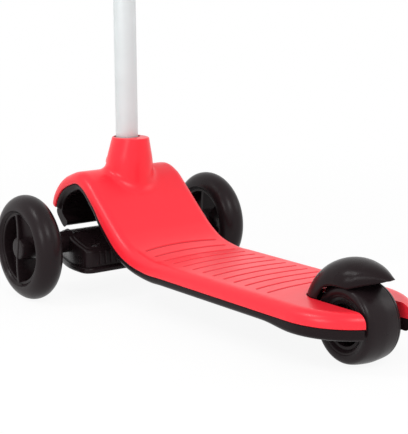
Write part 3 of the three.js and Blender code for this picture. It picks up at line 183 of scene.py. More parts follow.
class DeckSizes(bpy.types.PropertyGroup):
    """Sizes of the red deck and the black frame under it."""

    __annotations__ = lengths(
        height=(61, "Standing surface above the floor"),
        arch_rise=(79, "Crest of the arch above the standing surface"),
        arch_front=(58, "From the front axle to the arch's front lip"),
        arch_run=(150, "From the front axle back to the arch's foot"),
        skirt=(14.6, "Height of the red side along the deck"),
        wall=(4, "Thickness of the red moulding"),
        edge_radius=(11, "Rounding between top and sides"),
        tail_lead=(27, "From the rear axle to where the tail starts to narrow"),
        tail_length=(75, "Length of the rounded tail"),
        slot_half=(28.5, "Half the rear wheel's slot"),
        slot_lead=(58, "From the rear axle to the slot's front"),
        slot_corner=(27, "Run of the slot's rounded front corners"),
        neck_base=(68, "From the neck's rim down to its foot"),
        neck_half_width=(20, "Half the neck's width at its rim"),
        neck_half_length=(25, "Half the neck's length at its rim"),
        neck_setback=(20, "Middle of the rim behind the front axle"),
        neck_fillet=(9, "Run of the soft corner at the neck's foot"),
        groove_first=(121, "From the front axle back to the first groove"),
        groove_pitch=(17.75, "From groove to groove"),
        groove_half=(49.5, "Half a groove's length"),
        groove_bow=(5.5, "How far a groove's middle lies ahead of its ends"),
        groove_width=(2, "Half a groove's width"),
        groove_depth=(1.5, "How deep a groove is cut"),
        pan_depth=(9, "Height of the black band under the red side"),
        pan_inset=(1.2, "Black band in from the red side"),
        seam=(0.7, "Open line between the red side and the black band"),
        arm_bottom=(34, "Underside of the rear arms above the floor"),
    ) | counts(groove_count=(13, "Tread grooves across the deck"))


class WheelSizes(bpy.types.PropertyGroup):
    """Sizes of the wheels."""

    __annotations__ = lengths(
        mouth_radius=(44, "Where the front tyre's side turns in to the hub"),
        front_bore=(41.2, "Seat of the front tyre on its hub"),
        hub_half=(12.4, "Half the front rim's width"),
        rim_wall=(3.6, "Thickness of the front rim"),
        boss_radius=(13.8, "Bearing boss of both hubs"),
        blade_rise=(19, "How far a blade travels along the axle"),
        blade_thickness=(3, "Thickness of a blade"),
        ridge_height=(15.6, "How far the ridge stands out along the axle"),
        ridge_thickness=(4, "Thickness of the ridge"),
        ridge_bend=(2.2, "How far the ridge bends to each side"),
        rear_bore=(24.3, "Seat of the rear tyre on its hub"),
        rear_hub_half=(18.6, "Half the rear rim's width"),
        rear_rim_wall=(3.4, "Thickness of the rear rim"),
        rear_web=(5, "Thickness of the rear hub's disc"),
    ) | angles(blade_turn=(130, "How far a blade travels round the axle"))


class TruckSizes(bpy.types.PropertyGroup):
    """Sizes of the front truck."""

    __annotations__ = lengths(
        reach=(84, "Half the hanger's length"),
        corner_run=(16, "From the hanger's end in to its front corner"),
        shoulder=(18, "From the axle back to where the sides start to narrow"),
        corner_radius=(11, "Rounding of the plan's corners"),
        arm=(24, "How far the axle arm reaches past the hanger"),
        arm_radius=(12.5, "Half the axle arm's thickness"),
        rear=(53, "From the axle to the rear edge"),
        front=(38, "From the axle to the front edge"),
        bottom=(38, "Hanger's underside above the floor"),
        top=(70, "Hanger's crown above the floor"),
        tray_lip=(4, "How far the tray stands out round the hanger"),
        tray_depth=(6.5, "Height of the tray under the hanger"),
        border=(1, "Height of the raised line round the top"),
    ) | angles(lean=(25, "Kingpin's forward lean"))


class FenderSizes(bpy.types.PropertyGroup):
    """Sizes of the brake fender."""

    __annotations__ = lengths(
        crown=(62.6, "From the rear axle to the hood's top"),
        edge=(41, "From the rear axle to the hood's side edge"),
        tip=(68, "From the rear axle to the tip"),
        half=(29, "Half the hood's width"),
        tip_half=(4, "Half the tip's width"),
        wall=(3, "Thickness of the hood"),
    )


class HandlebarSizes(bpy.types.PropertyGroup):
    """Sizes of the handlebar above the neck."""

    __annotations__ = lengths(
        stem_wall=(1.5, "Wall of the stem's tube"),
        tee_wall=(4, "Wall of the joint round the tubes"),
        tee_half=(30, "Half the joint's length along the crossbar"),
        tee_drop=(48, "From the crossbar down to the joint's foot"),
        grip_start=(36, "From the middle to a grip's inner flange"),
        grip_wall=(4.2, "Wall of the grip"),
    ) | counts(grip_rings=(13, "Raised rings on each grip"))


class Finishes(bpy.types.PropertyGroup):
    """Colours of the mouldings and metals, as linear values."""

    __annotations__ = colours(
        red=((0.98, 0.024, 0.042), "Deck and neck"),
        black=((0.0118, 0.0066, 0.0076), "Frame, truck and fender"),
        hub=((0.0125, 0.0078, 0.0088), "Hubs"),
        tread=((0.0132, 0.0078, 0.009), "Tyres"),
        grip=((0.018, 0.016, 0.016), "Grips"),
        tube=((0.66, 0.7, 0.705), "Stem and crossbar"),
        steel=((0.5, 0.51, 0.52), "Axles, nuts and screws"),
    ) | lengths(grain=(0.5, "Size of the moulded grain"))


class StageSizes(bpy.types.PropertyGroup):
    """The photograph's view, the lamps and the floor."""

    __annotations__ = {
        **scaled(1, {"unit": "CAMERA"})(lens=(110.3, "Focal length")),
        **properties(
            bpy.props.FloatVectorProperty, {"subtype": "XYZ"},
            eye=((-0.8467, -1.11695, 0.3867), "Where the camera stands"),
        ),
        **angles(
            yaw=(36.32, "Turn from +Y towards +X"),
            pitch=(-11.17, "Tilt above the horizon"),
            roll=(-0.47, "Turn about the line of sight"),
        ),
        **powers(
            key_power=(13, "Power of the main lamp"),
            left_power=(6.5, "Power of the lamp at the left"),
            rim_power=(8, "Power of the lamp ahead of the scooter, twice that of the one at its right"),
        ),
        **shares(
            sky=(0.6, "Light from all round"),
            floor_show=(0.91, "How much of the floor's white is its own"),
        ),
    }


def plain(sizes):
    """A property group's values as plain numbers, its lengths in millimetres."""
    made = {}
    for key in sizes.__annotations__:
        value = getattr(sizes, key)
        made[key] = value / MM if sizes.bl_rna.properties[key].unit == "LENGTH" else value
    return SimpleNamespace(**made)


# Meshes


class Form:
    """Points in millimetres and the faces between them, before they become an object."""

    def __init__(self):
        self.points = np.zeros((0, 3))
        self.faces = []

    def grid(self, points, round_rows=False, round_columns=False, keep=None):
        """Adds rows and columns of points, with a face between each four. keep picks the faces."""
        rows, columns = points.shape[:2]
        row = np.arange(rows if round_rows else rows - 1)[:, None]
        column = np.arange(columns if round_columns else columns - 1)[None, :]
        column_after = (column + 1) % columns
        near, far = row * columns, (row + 1) % rows * columns
        quads = np.stack([near + column, near + column_after, far + column_after, far + column], -1)
        quads = quads[keep] if keep is not None else quads.reshape(-1, 4)
        self.faces += (quads + len(self.points)).tolist()
        self.points = np.vstack([self.points, points.reshape(-1, 3)])
        return self

    def cap(self, ring):
        """Adds one face over a ring of points."""
        self.faces.append(list(range(len(self.points), len(self.points) + len(ring))))
        self.points = np.vstack([self.points, ring])
        return self

    def moved(self, by):
        self.points = self.points + np.asarray(by, float)
        return self

    def leaned(self, angle, pivot=(0, 0, 0)):
        """Turned forward about X through a point, top first."""
        c, s = math.cos(angle), math.sin(angle)
        turn = np.array([[1, 0, 0], [0, c, s], [0, -s, c]])
        self.points = (self.points - pivot) @ turn.T + pivot
        return self


def eased(low, high, value):
    """0 below low, 1 above high, and a soft ramp between."""
    t = np.clip((value - low) / (high - low), 0, 1)
    return t * t * (3 - 2 * t)


def smooth_curve(controls, steps=40):
    """A centripetal Catmull-Rom curve through points, many points to a span."""
    points = np.asarray(controls, float)
    padded = np.vstack([2 * points[0] - points[1], points, 2 * points[-1] - points[-2]])
    made = []
    for a, b, c, d in zip(padded, padded[1:], padded[2:], padded[3:]):
        gaps = [math.sqrt(np.linalg.norm(q - p)) for p, q in ((a, b), (b, c), (c, d))]
        k0, k1, k2, k3 = np.cumsum([0] + gaps)
        t = np.linspace(k1, k2, steps, endpoint=False)[:, None]

        def mix(start, first, end, last):
            return (end - t) / (end - start) * first + (t - start) / (end - start) * last

        ab, bc, cd = mix(k0, a, k1, b), mix(k1, b, k2, c), mix(k2, c, k3, d)
        made.append(mix(k1, mix(k0, ab, k2, bc), k2, mix(k1, bc, k3, cd)))
    return np.vstack(made + [points[-1:]])


def smooth_table(table):
    """Columns of a table of shares, as functions of its first column that pass softly through each row."""
    curve = smooth_curve(table)
    return [lambda x, k=k: np.interp(x, curve[:, 0], curve[:, k]) for k in range(1, curve.shape[1])]


def rounded(outline, radius, steps=5, closed=True):
    """An outline of points with its corners rounded. radius is one value or one for each corner."""
    points = np.asarray(outline, float)
    made = []
    for i, (at, reach) in enumerate(zip(points, np.broadcast_to(radius, len(points)))):
        if reach <= 0 or (not closed and i in (0, len(points) - 1)):
            made.append(at[None])
            continue
        back, ahead = points[i - 1] - at, points[(i + 1) % len(points)] - at
        run = min(reach, 0.49 * np.linalg.norm(back), 0.49 * np.linalg.norm(ahead))
        start, end = [at + way / np.linalg.norm(way) * run for way in (back, ahead)]
        t = np.linspace(0, 1, steps + 1)[:, None]
        made.append((1 - t) ** 2 * start + 2 * t * (1 - t) * at + t * t * end)
    return np.vstack(made)


def grown(outline, amount):
    """A closed outline, run counter-clockwise, with each point moved out by an amount."""
    ahead = np.roll(outline, -1, 0) - np.roll(outline, 1, 0)
    outward = np.stack([ahead[:, 1], -ahead[:, 0]], 1)
    return outline + outward / np.linalg.norm(outward, axis=1)[:, None] * amount


def mirrored(profile):
    """The other half of a profile of (radius, along), run back from its middle."""
    return [(radius, -along) for radius, along in reversed(profile)]


def turned(profile, steps=96, axis="x"):
    """A profile of (radius, along) turned about an axis. It starts and ends on the axis, or closes on itself."""
    points = np.asarray(profile, float)
    angle = np.linspace(0, 2 * math.pi, steps, endpoint=False)
    radius, along = points[:, :1], np.repeat(points[:, 1:], steps, 1)
    c, s = radius * np.cos(angle), radius * np.sin(angle)
    order = {"x": (along, c, s), "y": (s, along, c), "z": (c, s, along)}[axis]
    return Form().grid(np.stack(order, -1), round_rows=points[0, 0] > 0, round_columns=True)


def lathe(profile, radii, steps=96, axis="x", corner=5):
    """A turned profile that starts and ends on the axis, with its corners rounded."""
    return turned(rounded(profile, radii, corner, closed=False), steps, axis)


def sleeve(inner, outer, start, end, edge, axis="x", steps=64):
    return turned(rounded([(inner, start), (outer, start), (outer, end), (inner, end)], edge, 3), steps, axis)


def rod(radius, start, end, edge, axis="x", steps=64):
    return lathe([(0, start), (radius, start), (radius, end), (0, end)], edge, steps, axis, 3)


def drill(radius, start, end, axis="z", steps=48, at=(0, 0, 0)):
    """A cutter for a round hole along an axis."""
    return rod(radius, start, end, SHARP, axis, steps).moved(at)


def skinned(rings):
    """A skin over rings of points, closed at both ends."""
    rings = np.array(rings)
    return Form().grid(rings, round_columns=True).cap(rings[0]).cap(rings[-1])


def raised(outline, bottom, top):
    """A plan outline raised from bottom to top."""
    return skinned([np.c_[outline, np.full(len(outline), z)] for z in (bottom, top)])


def slab(outline, bottom, top, edge, steps=4):
    """A closed plan outline raised from bottom to top, with rounded rims."""
    turns = np.linspace(0, math.pi / 2, steps + 1)
    low = [(edge * (1 - math.sin(a)), bottom + edge * (1 - math.cos(a))) for a in turns]
    high = [(inset, top + bottom - z) for inset, z in reversed(low)]
    return skinned([np.c_[grown(outline, -inset), np.full(len(outline), z)] for inset, z in low + high])


def block(x, y, z, edge=0):
    outline = np.array([(x[0], y[0]), (x[1], y[0]), (x[1], y[1]), (x[0], y[1])], float)
    return slab(rounded(outline, 1.6 * edge, 4), *z, edge) if edge else raised(outline, *z)


def span(side, near, far):
    """Two distances from the middle as places on one side, the lower one first."""
    return sorted((side * near, side * far))


def across(outline, half, edge=0):
    """A side outline of (y, z) pushed along X from -half to half, with rounded rims."""
    flat = np.asarray(outline, float)
    made = slab(flat, -half, half, edge) if edge else raised(flat, -half, half)
    made.points = made.points[:, [2, 0, 1]]
    return made


def new_object(name, data):
    made = bpy.data.objects.new(name, data)
    bpy.context.scene.collection.objects.link(made)
    return made


def object_of(form, name="blank"):
    """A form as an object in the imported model's place, its doubles merged and its faces turned out."""
    mesh = bpy.data.meshes.new(name)
    mesh.from_pydata((form.points * MM + FLOOR_UNDER_AXLE).tolist(), [], form.faces)
    skin = bmesh.new()
    skin.from_mesh(mesh)
    bmesh.ops.remove_doubles(skin, verts=skin.verts, dist=MERGE)
    bmesh.ops.dissolve_degenerate(skin, edges=skin.edges, dist=MERGE / 2)
    bmesh.ops.recalc_face_normals(skin, faces=skin.faces)
    skin.to_mesh(mesh)
    skin.free()
    return new_object(name, mesh)


def settled(made):
    """An object with its modifiers worked into its mesh."""
    depsgraph = bpy.context.evaluated_depsgraph_get()
    mesh = bpy.data.meshes.new_from_object(made.evaluated_get(depsgraph))
    made.modifiers.clear()
    made.data = mesh
    return made


def check_closed(made):
    """Stops if a piece has an open or shared edge, because it can't be joined or cut then."""
    skin = bmesh.new()
    skin.from_mesh(made.data)
    loose = sum(not edge.is_manifold for edge in skin.edges)
    skin.free()
    if loose:
        raise RuntimeError(f"{made.name} isn't closed: {loose} open edges")


def worked(operation, made, *forms):
    """An object joined with, cut by or kept within each of the forms."""
    check_closed(made)
    for form in forms:
        tool = object_of(form) if isinstance(form, Form) else form
        check_closed(tool)
        step = made.modifiers.new(operation, "BOOLEAN")
        step.operation = operation
        step.solver = "MANIFOLD"
        step.object = tool
        settled(made)
        bpy.data.objects.remove(tool)
    if not made.data.polygons:
        raise RuntimeError(f"nothing is left of {made.name}")
    return made


joined, cut, common = [partial(worked, operation) for operation in ("UNION", "DIFFERENCE", "INTERSECT")]


def softened(made, width, segments, degrees):
    """An object with its sharp edges rounded off."""
    bevel = made.modifiers.new("edges", "BEVEL")
    bevel.width = width * MM
    bevel.segments = segments
    bevel.limit_method = "ANGLE"
    bevel.angle_limit = math.radians(degrees)
    return settled(made)


def finished(made, node, ending, body, slot, finish=None):
    """Names a piece after the node that it replaces, shades it, and says its material and its body."""
    made.name = made.data.name = f"{node}_{ending}"
    made.data.materials.clear()
    made.data.materials.append(material(finish or slot))
    made.data.polygons.foreach_set("use_smooth", [True] * len(made.data.polygons))
    made.data.set_sharp_from_angle(angle=math.radians(SHADE_DEGREES))
    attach(made, body)
    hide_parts(node)


# Node trees

NUMBER, TINT, VECTOR, SHAPE = "NodeSocketFloat", "NodeSocketColor", "NodeSocketVector", "NodeSocketGeometry"
GROOVE_LENGTHS = ["First", "Pitch", "Half length", "Bow", "Half width", "Lowest"]


class Graph:
    """A node tree and short ways to put nodes in it."""

    def __init__(self, tree):
        self.tree = tree

    def fill(self, node, values):
        """Fills a node's inputs, each by a number, a colour or a socket."""
        for key, value in values.items():
            if isinstance(value, bpy.types.NodeSocket):
                self.tree.links.new(value, node.inputs[key])
            else:
                node.inputs[key].default_value = value

    def add(self, kind, values=(), **settings):
        """A node with its settings made and its inputs filled."""
        node = self.tree.nodes.new(kind)
        for key, value in settings.items():
            setattr(node, key, value)
        self.fill(node, dict(values))
        return node

    def math(self, operation, *values, kind="ShaderNodeMath"):
        return self.add(kind, enumerate(values), operation=operation).outputs[0]

    def noise(self, place, scale, detail):
        return self.add("ShaderNodeTexNoise", {"Vector": place, "Scale": scale, "Detail": detail}).outputs[0]

    def ramp(self, value, start, end, low=0.0, high=1.0, **settings):
        """A value mapped from start and end to low and high."""
        values = {"Value": value, "From Min": start, "From Max": end, "To Min": low, "To Max": high}
        return self.add("ShaderNodeMapRange", values, **settings).outputs[0]


def new_group(name, kind, inputs, outputs):
    """An empty node group, as its graph, the sockets that it is given and its output node."""
    tree = bpy.data.node_groups.new(name, kind)
    for way, sockets in (("INPUT", inputs), ("OUTPUT", outputs)):
        for label, socket_type, default in sockets:
            socket = tree.interface.new_socket(label, in_out=way, socket_type=socket_type)
            if default is not None:
                socket.default_value = default
    graph = Graph(tree)
    return graph, graph.add("NodeGroupInput").outputs, graph.add("NodeGroupOutput")


def made_once(name):
    """Makes a node group the first time that it is asked for, and finds it after that."""
    return lambda build: lambda: bpy.data.node_groups.get(name) or build(name)


def surface_group(name, inputs, pattern, distance):
    """Shader group: a colour with a shade, a gloss between two values, and a fine height, all from a pattern."""
    shared = [("Colour", TINT, (0.5, 0.5, 0.5, 1))]
    shared += [(label, NUMBER, 0.3) for label in ("Depth", "Gloss low", "Gloss high")]
    outputs = [("Colour", TINT, None), ("Roughness", NUMBER, None), ("Normal", VECTOR, None)]
    graph, given, result = new_group(name, "ShaderNodeTree", shared + inputs, outputs)
    shade, gloss, height = pattern(graph, given, graph.add("ShaderNodeTexCoord").outputs["Object"])
    toned = graph.add("ShaderNodeVectorMath", {0: given["Colour"], "Scale": shade}, operation="SCALE")
    bump = graph.add("ShaderNodeBump", {"Strength": given["Depth"], "Distance": distance, "Height": height})
    rough = graph.ramp(gloss, 0.3, 0.7, given["Gloss low"], given["Gloss high"])
    graph.fill(result, {"Colour": toned.outputs[0], "Roughness": rough, "Normal": bump.outputs[0]})
    return graph.tree


@made_once("Moulded skin")
def moulded_skin(name):
    """Shader group: a moulding's slight drift of colour, its fine grain, its uneven gloss, and painted shade in
    grooves.
    """

    def pattern(graph, given, place):
        edge = graph.ramp(graph.add("ShaderNodeNewGeometry").outputs["Pointiness"], 0.52, 0.62)
        swing = graph.math("MULTIPLY", graph.math("SUBTRACT", graph.noise(place, 14.0, 3.0), 0.5), given["Drift"])
        shade = graph.math("ADD", graph.math("MULTIPLY", swing, 2.0), 1.0)
        lit = graph.math("ADD", shade, graph.math("MULTIPLY", edge, given["Wear"]))
        # Painted shade: the colour is darkened by up to half where the groove share given to this group is 1, along the
        # deck's grooves
        groove_shade_factor = graph.math("SUBTRACT", 1.0, graph.math("MULTIPLY", given["Painted groove shade"], 0.5))
        fine = graph.noise(place, given["Grain scale"], 2.0)
        return graph.math("MULTIPLY", lit, groove_shade_factor), graph.noise(place, 60.0, 4.0), fine

    inputs = [(label, NUMBER, 0.0) for label in ("Drift", "Grain scale", "Wear", "Painted groove shade")]
    return surface_group(name, inputs, pattern, 0.0003)


@made_once("Drawn metal")
def drawn_metal(name):
    """Shader group: long drawn lines in a metal's gloss, a cloud in its colour, and a fine scratch height."""

    def pattern(graph, given, place):
        drawn = graph.math("MULTIPLY", place, given["Stretch"], kind="ShaderNodeVectorMath")
        lines = graph.noise(drawn, 1.0, 2.0)
        return graph.ramp(graph.noise(place, 30.0, 3.0), 0.0, 1.0, 0.94, 1.06), lines, lines

    return surface_group(name, [("Stretch", VECTOR, (900.0, 900.0, 12.0))], pattern, 0.0001)


def finish_values():
    """Each finish: its group, the group's values, and what is set on the shader itself."""
    tone = bpy.context.scene.scooter_finishes

    def common_values(base, low, high, depth):
        return {"Colour": (*base, 1), "Gloss low": low, "Gloss high": high, "Depth": depth}

    def skin(base, drift, depth, low, high, wear, shader, scale=1.0):
        own = {"Drift": drift, "Wear": wear, "Grain scale": scale / tone.grain}
        return moulded_skin, common_values(base, low, high, depth) | own, shader

    def metal(base, stretch, low, high, depth, metallic):
        return drawn_metal, common_values(base, low, high, depth) | {"Stretch": stretch}, {"Metallic": metallic}

    level, rubber = "Specular IOR Level", {"IOR": 1.45}
    return {
        "red_shell": skin(tone.red, 0.03, 0.04, 0.28, 0.34, 0.02, {level: 0.3}),
        "black_plastic": skin(tone.black, 0.2, 0.1, 0.24, 0.34, 0.5, {level: 0.12}),
        "black_hub": skin(tone.hub, 0.15, 0.05, 0.24, 0.32, 0.5, {level: 0.12}),
        "wheel_tread": skin(tone.tread, 0.16, 0.06, 0.27, 0.36, 0.3, {level: 0.16}),
        "grip_rubber": skin(tone.grip, 0.2, 0.35, 0.6, 0.75, 0.2, rubber, 0.6),
        "bushing_rubber": skin(tone.grip, 0.2, 0.25, 0.55, 0.7, 0.2, rubber, 0.8),
        "bare_tube": metal(tone.tube, (900.0, 900.0, 8.0), 0.3, 0.4, 0.03, 0.12),
        "crossbar_tube": metal(tone.tube, (8.0, 900.0, 900.0), 0.3, 0.4, 0.03, 0.12),
        "zinc_steel": metal(tone.steel, (500.0, 500.0, 500.0), 0.25, 0.45, 0.08, 1.0),
    }


def material(finish):
    """The named finish as a material, made the first time it is asked for."""
    name = f"{finish}_finish"
    if name in bpy.data.materials:
        return bpy.data.materials[name]
    group, values, shader_values = finish_values()[finish]
    made = bpy.data.materials.new(name)
    made.use_nodes = True
    graph = Graph(made.node_tree)
    skin = graph.add("ShaderNodeGroup", node_tree=group())
    graph.fill(skin, values)
    # The red's colour is painted darker along the deck's grooves: painted shade in them
    if finish == "red_shell":
        lines = graph.add("ShaderNodeGroup", node_tree=groove_shade_mask())
        graph.fill(lines, groove_values(plain(bpy.context.scene.scooter_deck)))
        graph.fill(skin, {"Painted groove shade": lines.outputs["Share"]})
    links = {"Base Color": skin.outputs["Colour"]} | {key: skin.outputs[key] for key in ("Roughness", "Normal")}
    graph.fill(made.node_tree.nodes["Principled BSDF"], shader_values | links)
    return made


def shaped_by(made, tree, values, finish):
    """Runs a geometry tree on an object with named values, and keeps the result as a plain mesh."""
    step = made.modifiers.new(tree.name, "NODES")
    step.node_group = tree
    values = {**values, "Finish": material(finish)}
    for item in tree.interface.items_tree:
        if item.item_type == "SOCKET" and item.in_out == "INPUT" and item.name in values:
            step[item.identifier] = values[item.name]
    made.update_tag()
    return settled(made)


def shape_group(name, inputs):
    """A geometry group that works on a blank: its graph, what it is given, and the step that ends it."""
    inputs = [("Blank", SHAPE, None), *inputs, ("Finish", "NodeSocketMaterial", None)]
    graph, given, result = new_group(name, "GeometryNodeTree", inputs, [("Made", SHAPE, None)])

    def close(node):
        """Realizes what the tree made and sets its material."""
        real = graph.add("GeometryNodeRealizeInstances", {0: node.outputs[0]}).outputs[0]
        dressed = graph.add("GeometryNodeSetMaterial", {"Geometry": real, "Material": given["Finish"]})
        graph.fill(result, {0: dressed.outputs[0]})
        return graph.tree

    return graph, given, close


def groove_share(graph, place, value):
    """How far each place lies in a bowed groove: 1 along its middle, 0 outside."""
    x, y, z = graph.add("ShaderNodeSeparateXYZ", {0: place}).outputs
    side = graph.math("ABSOLUTE", x)
    share = graph.math("MINIMUM", graph.math("DIVIDE", side, value["Half length"]), 1.0)
    lead = graph.math("MULTIPLY", graph.math("SUBTRACT", 1.0, graph.math("POWER", share, 2.0)), value["Bow"])
    behind = graph.math("ADD", graph.math("SUBTRACT", value["First"], y), lead)
    turn = graph.math("DIVIDE", behind, value["Pitch"])
    last = graph.math("SUBTRACT", value["Count"], 1.0)
    nearest = graph.math("MAXIMUM", graph.math("MINIMUM", graph.math("ROUND", turn), last), 0.0)
    off = graph.math("MULTIPLY", graph.math("ABSOLUTE", graph.math("SUBTRACT", turn, nearest)), value["Pitch"])
    end = graph.math("SUBTRACT", value["Half length"], value["Half width"])
    past_end = graph.math("MAXIMUM", graph.math("SUBTRACT", side, end), 0.0)
    away = graph.math("SQRT", graph.math("ADD", graph.math("POWER", off, 2.0), graph.math("POWER", past_end, 2.0)))
    near = graph.ramp(away, value["Half width"], 0.0, interpolation_type="SMOOTHSTEP")
    return graph.math("MULTIPLY", near, graph.math("GREATER_THAN", z, value["Lowest"]))


def groove_values(deck):
    """The grooves' sizes in metres, by the names that the groups give them."""
    sizes = [deck.groove_pitch, deck.groove_half, deck.groove_bow, deck.groove_width, deck.height - 3]
    values = {label: size * MM for label, size in zip(GROOVE_LENGTHS[1:], sizes)}
    return {**values, "First": FLOOR_UNDER_AXLE[1] - deck.groove_first * MM, "Count": deck.groove_count}


@made_once("Tread lines")
def groove_shade_mask(name):
    """Shader group: where the deck's grooves run, as the mask for the shade painted in them."""
    inputs = [(label, NUMBER, 0.01) for label in GROOVE_LENGTHS + ["Count"]]
    graph, given, result = new_group(name, "ShaderNodeTree", inputs, [("Share", NUMBER, None)])
    graph.fill(result, {"Share": groove_share(graph, graph.add("ShaderNodeTexCoord").outputs["Object"], given)})
    return graph.tree


@made_once("Tread grooves")
def groove_tree(name):
    """Geometry tree: bowed grooves pressed into the top of a plate, one pitch apart."""
    inputs = [(label, NUMBER, 0.01) for label in GROOVE_LENGTHS + ["Depth"]] + [("Count", "NodeSocketInt", 13)]
    graph, given, close = shape_group(name, inputs)
    near = groove_share(graph, graph.add("GeometryNodeInputPosition").outputs[0], given)
    up = graph.add("ShaderNodeSeparateXYZ", {0: graph.add("GeometryNodeInputNormal").outputs[0]}).outputs[2]
    facing = graph.math("MULTIPLY", near, graph.math("GREATER_THAN", up, 0.5))
    drop = graph.math("MULTIPLY", facing, graph.math("MULTIPLY", given["Depth"], -1.0))
    shift = graph.add("ShaderNodeCombineXYZ", {2: drop}).outputs[0]
    return close(graph.add("GeometryNodeSetPosition", {"Geometry": given["Blank"], "Offset": shift}))


@made_once("Row of copies")
def row_tree(name):
    """Geometry tree: copies of a piece in a row, each one step from the last."""
    graph, given, close = shape_group(name, [("Count", "NodeSocketInt", 5), ("Step", VECTOR, (0.01, 0.0, 0.0))])
    line = graph.add("GeometryNodeMeshLine", {"Count": given["Count"], "Offset": given["Step"]})
    return close(graph.add("GeometryNodeInstanceOnPoints", {"Points": line.outputs[0], "Instance": given["Blank"]}))


@made_once("Wound spring")
def coil_tree(name):
    """Geometry tree: a round wire wound into a spring along Z, its foot at the origin."""
    sizes = ("Radius", "Height", "Wire radius", "Turns")
    graph, given, close = shape_group(name, [(label, NUMBER, 0.005) for label in sizes])
    radius, height, wire, turns = [given[label] for label in sizes]
    spiral = {"Resolution": 24, "Rotations": turns, "Start Radius": radius, "End Radius": radius, "Height": height}
    line = graph.add("GeometryNodeCurveSpiral", spiral).outputs[0]
    ring = graph.add("GeometryNodeCurvePrimitiveCircle", {"Resolution": 8, "Radius": wire}).outputs[0]
    return close(graph.add("GeometryNodeCurveToMesh", {"Curve": line, "Profile Curve": ring, "Fill Caps": True}))


def row_of(form, copies, step, finish):
    """A row of copies of a form, as an object. It is made about the origin, where the rounding is the least."""
    values = {"Count": copies, "Step": [float(value * MM) for value in step]}
    made = shaped_by(object_of(form.moved(-FLOOR_UNDER_AXLE / MM)), row_tree(), values, finish)
    made.data.transform(Matrix.Translation(Vector(FLOOR_UNDER_AXLE)))
    return made


# Shapes of the deck


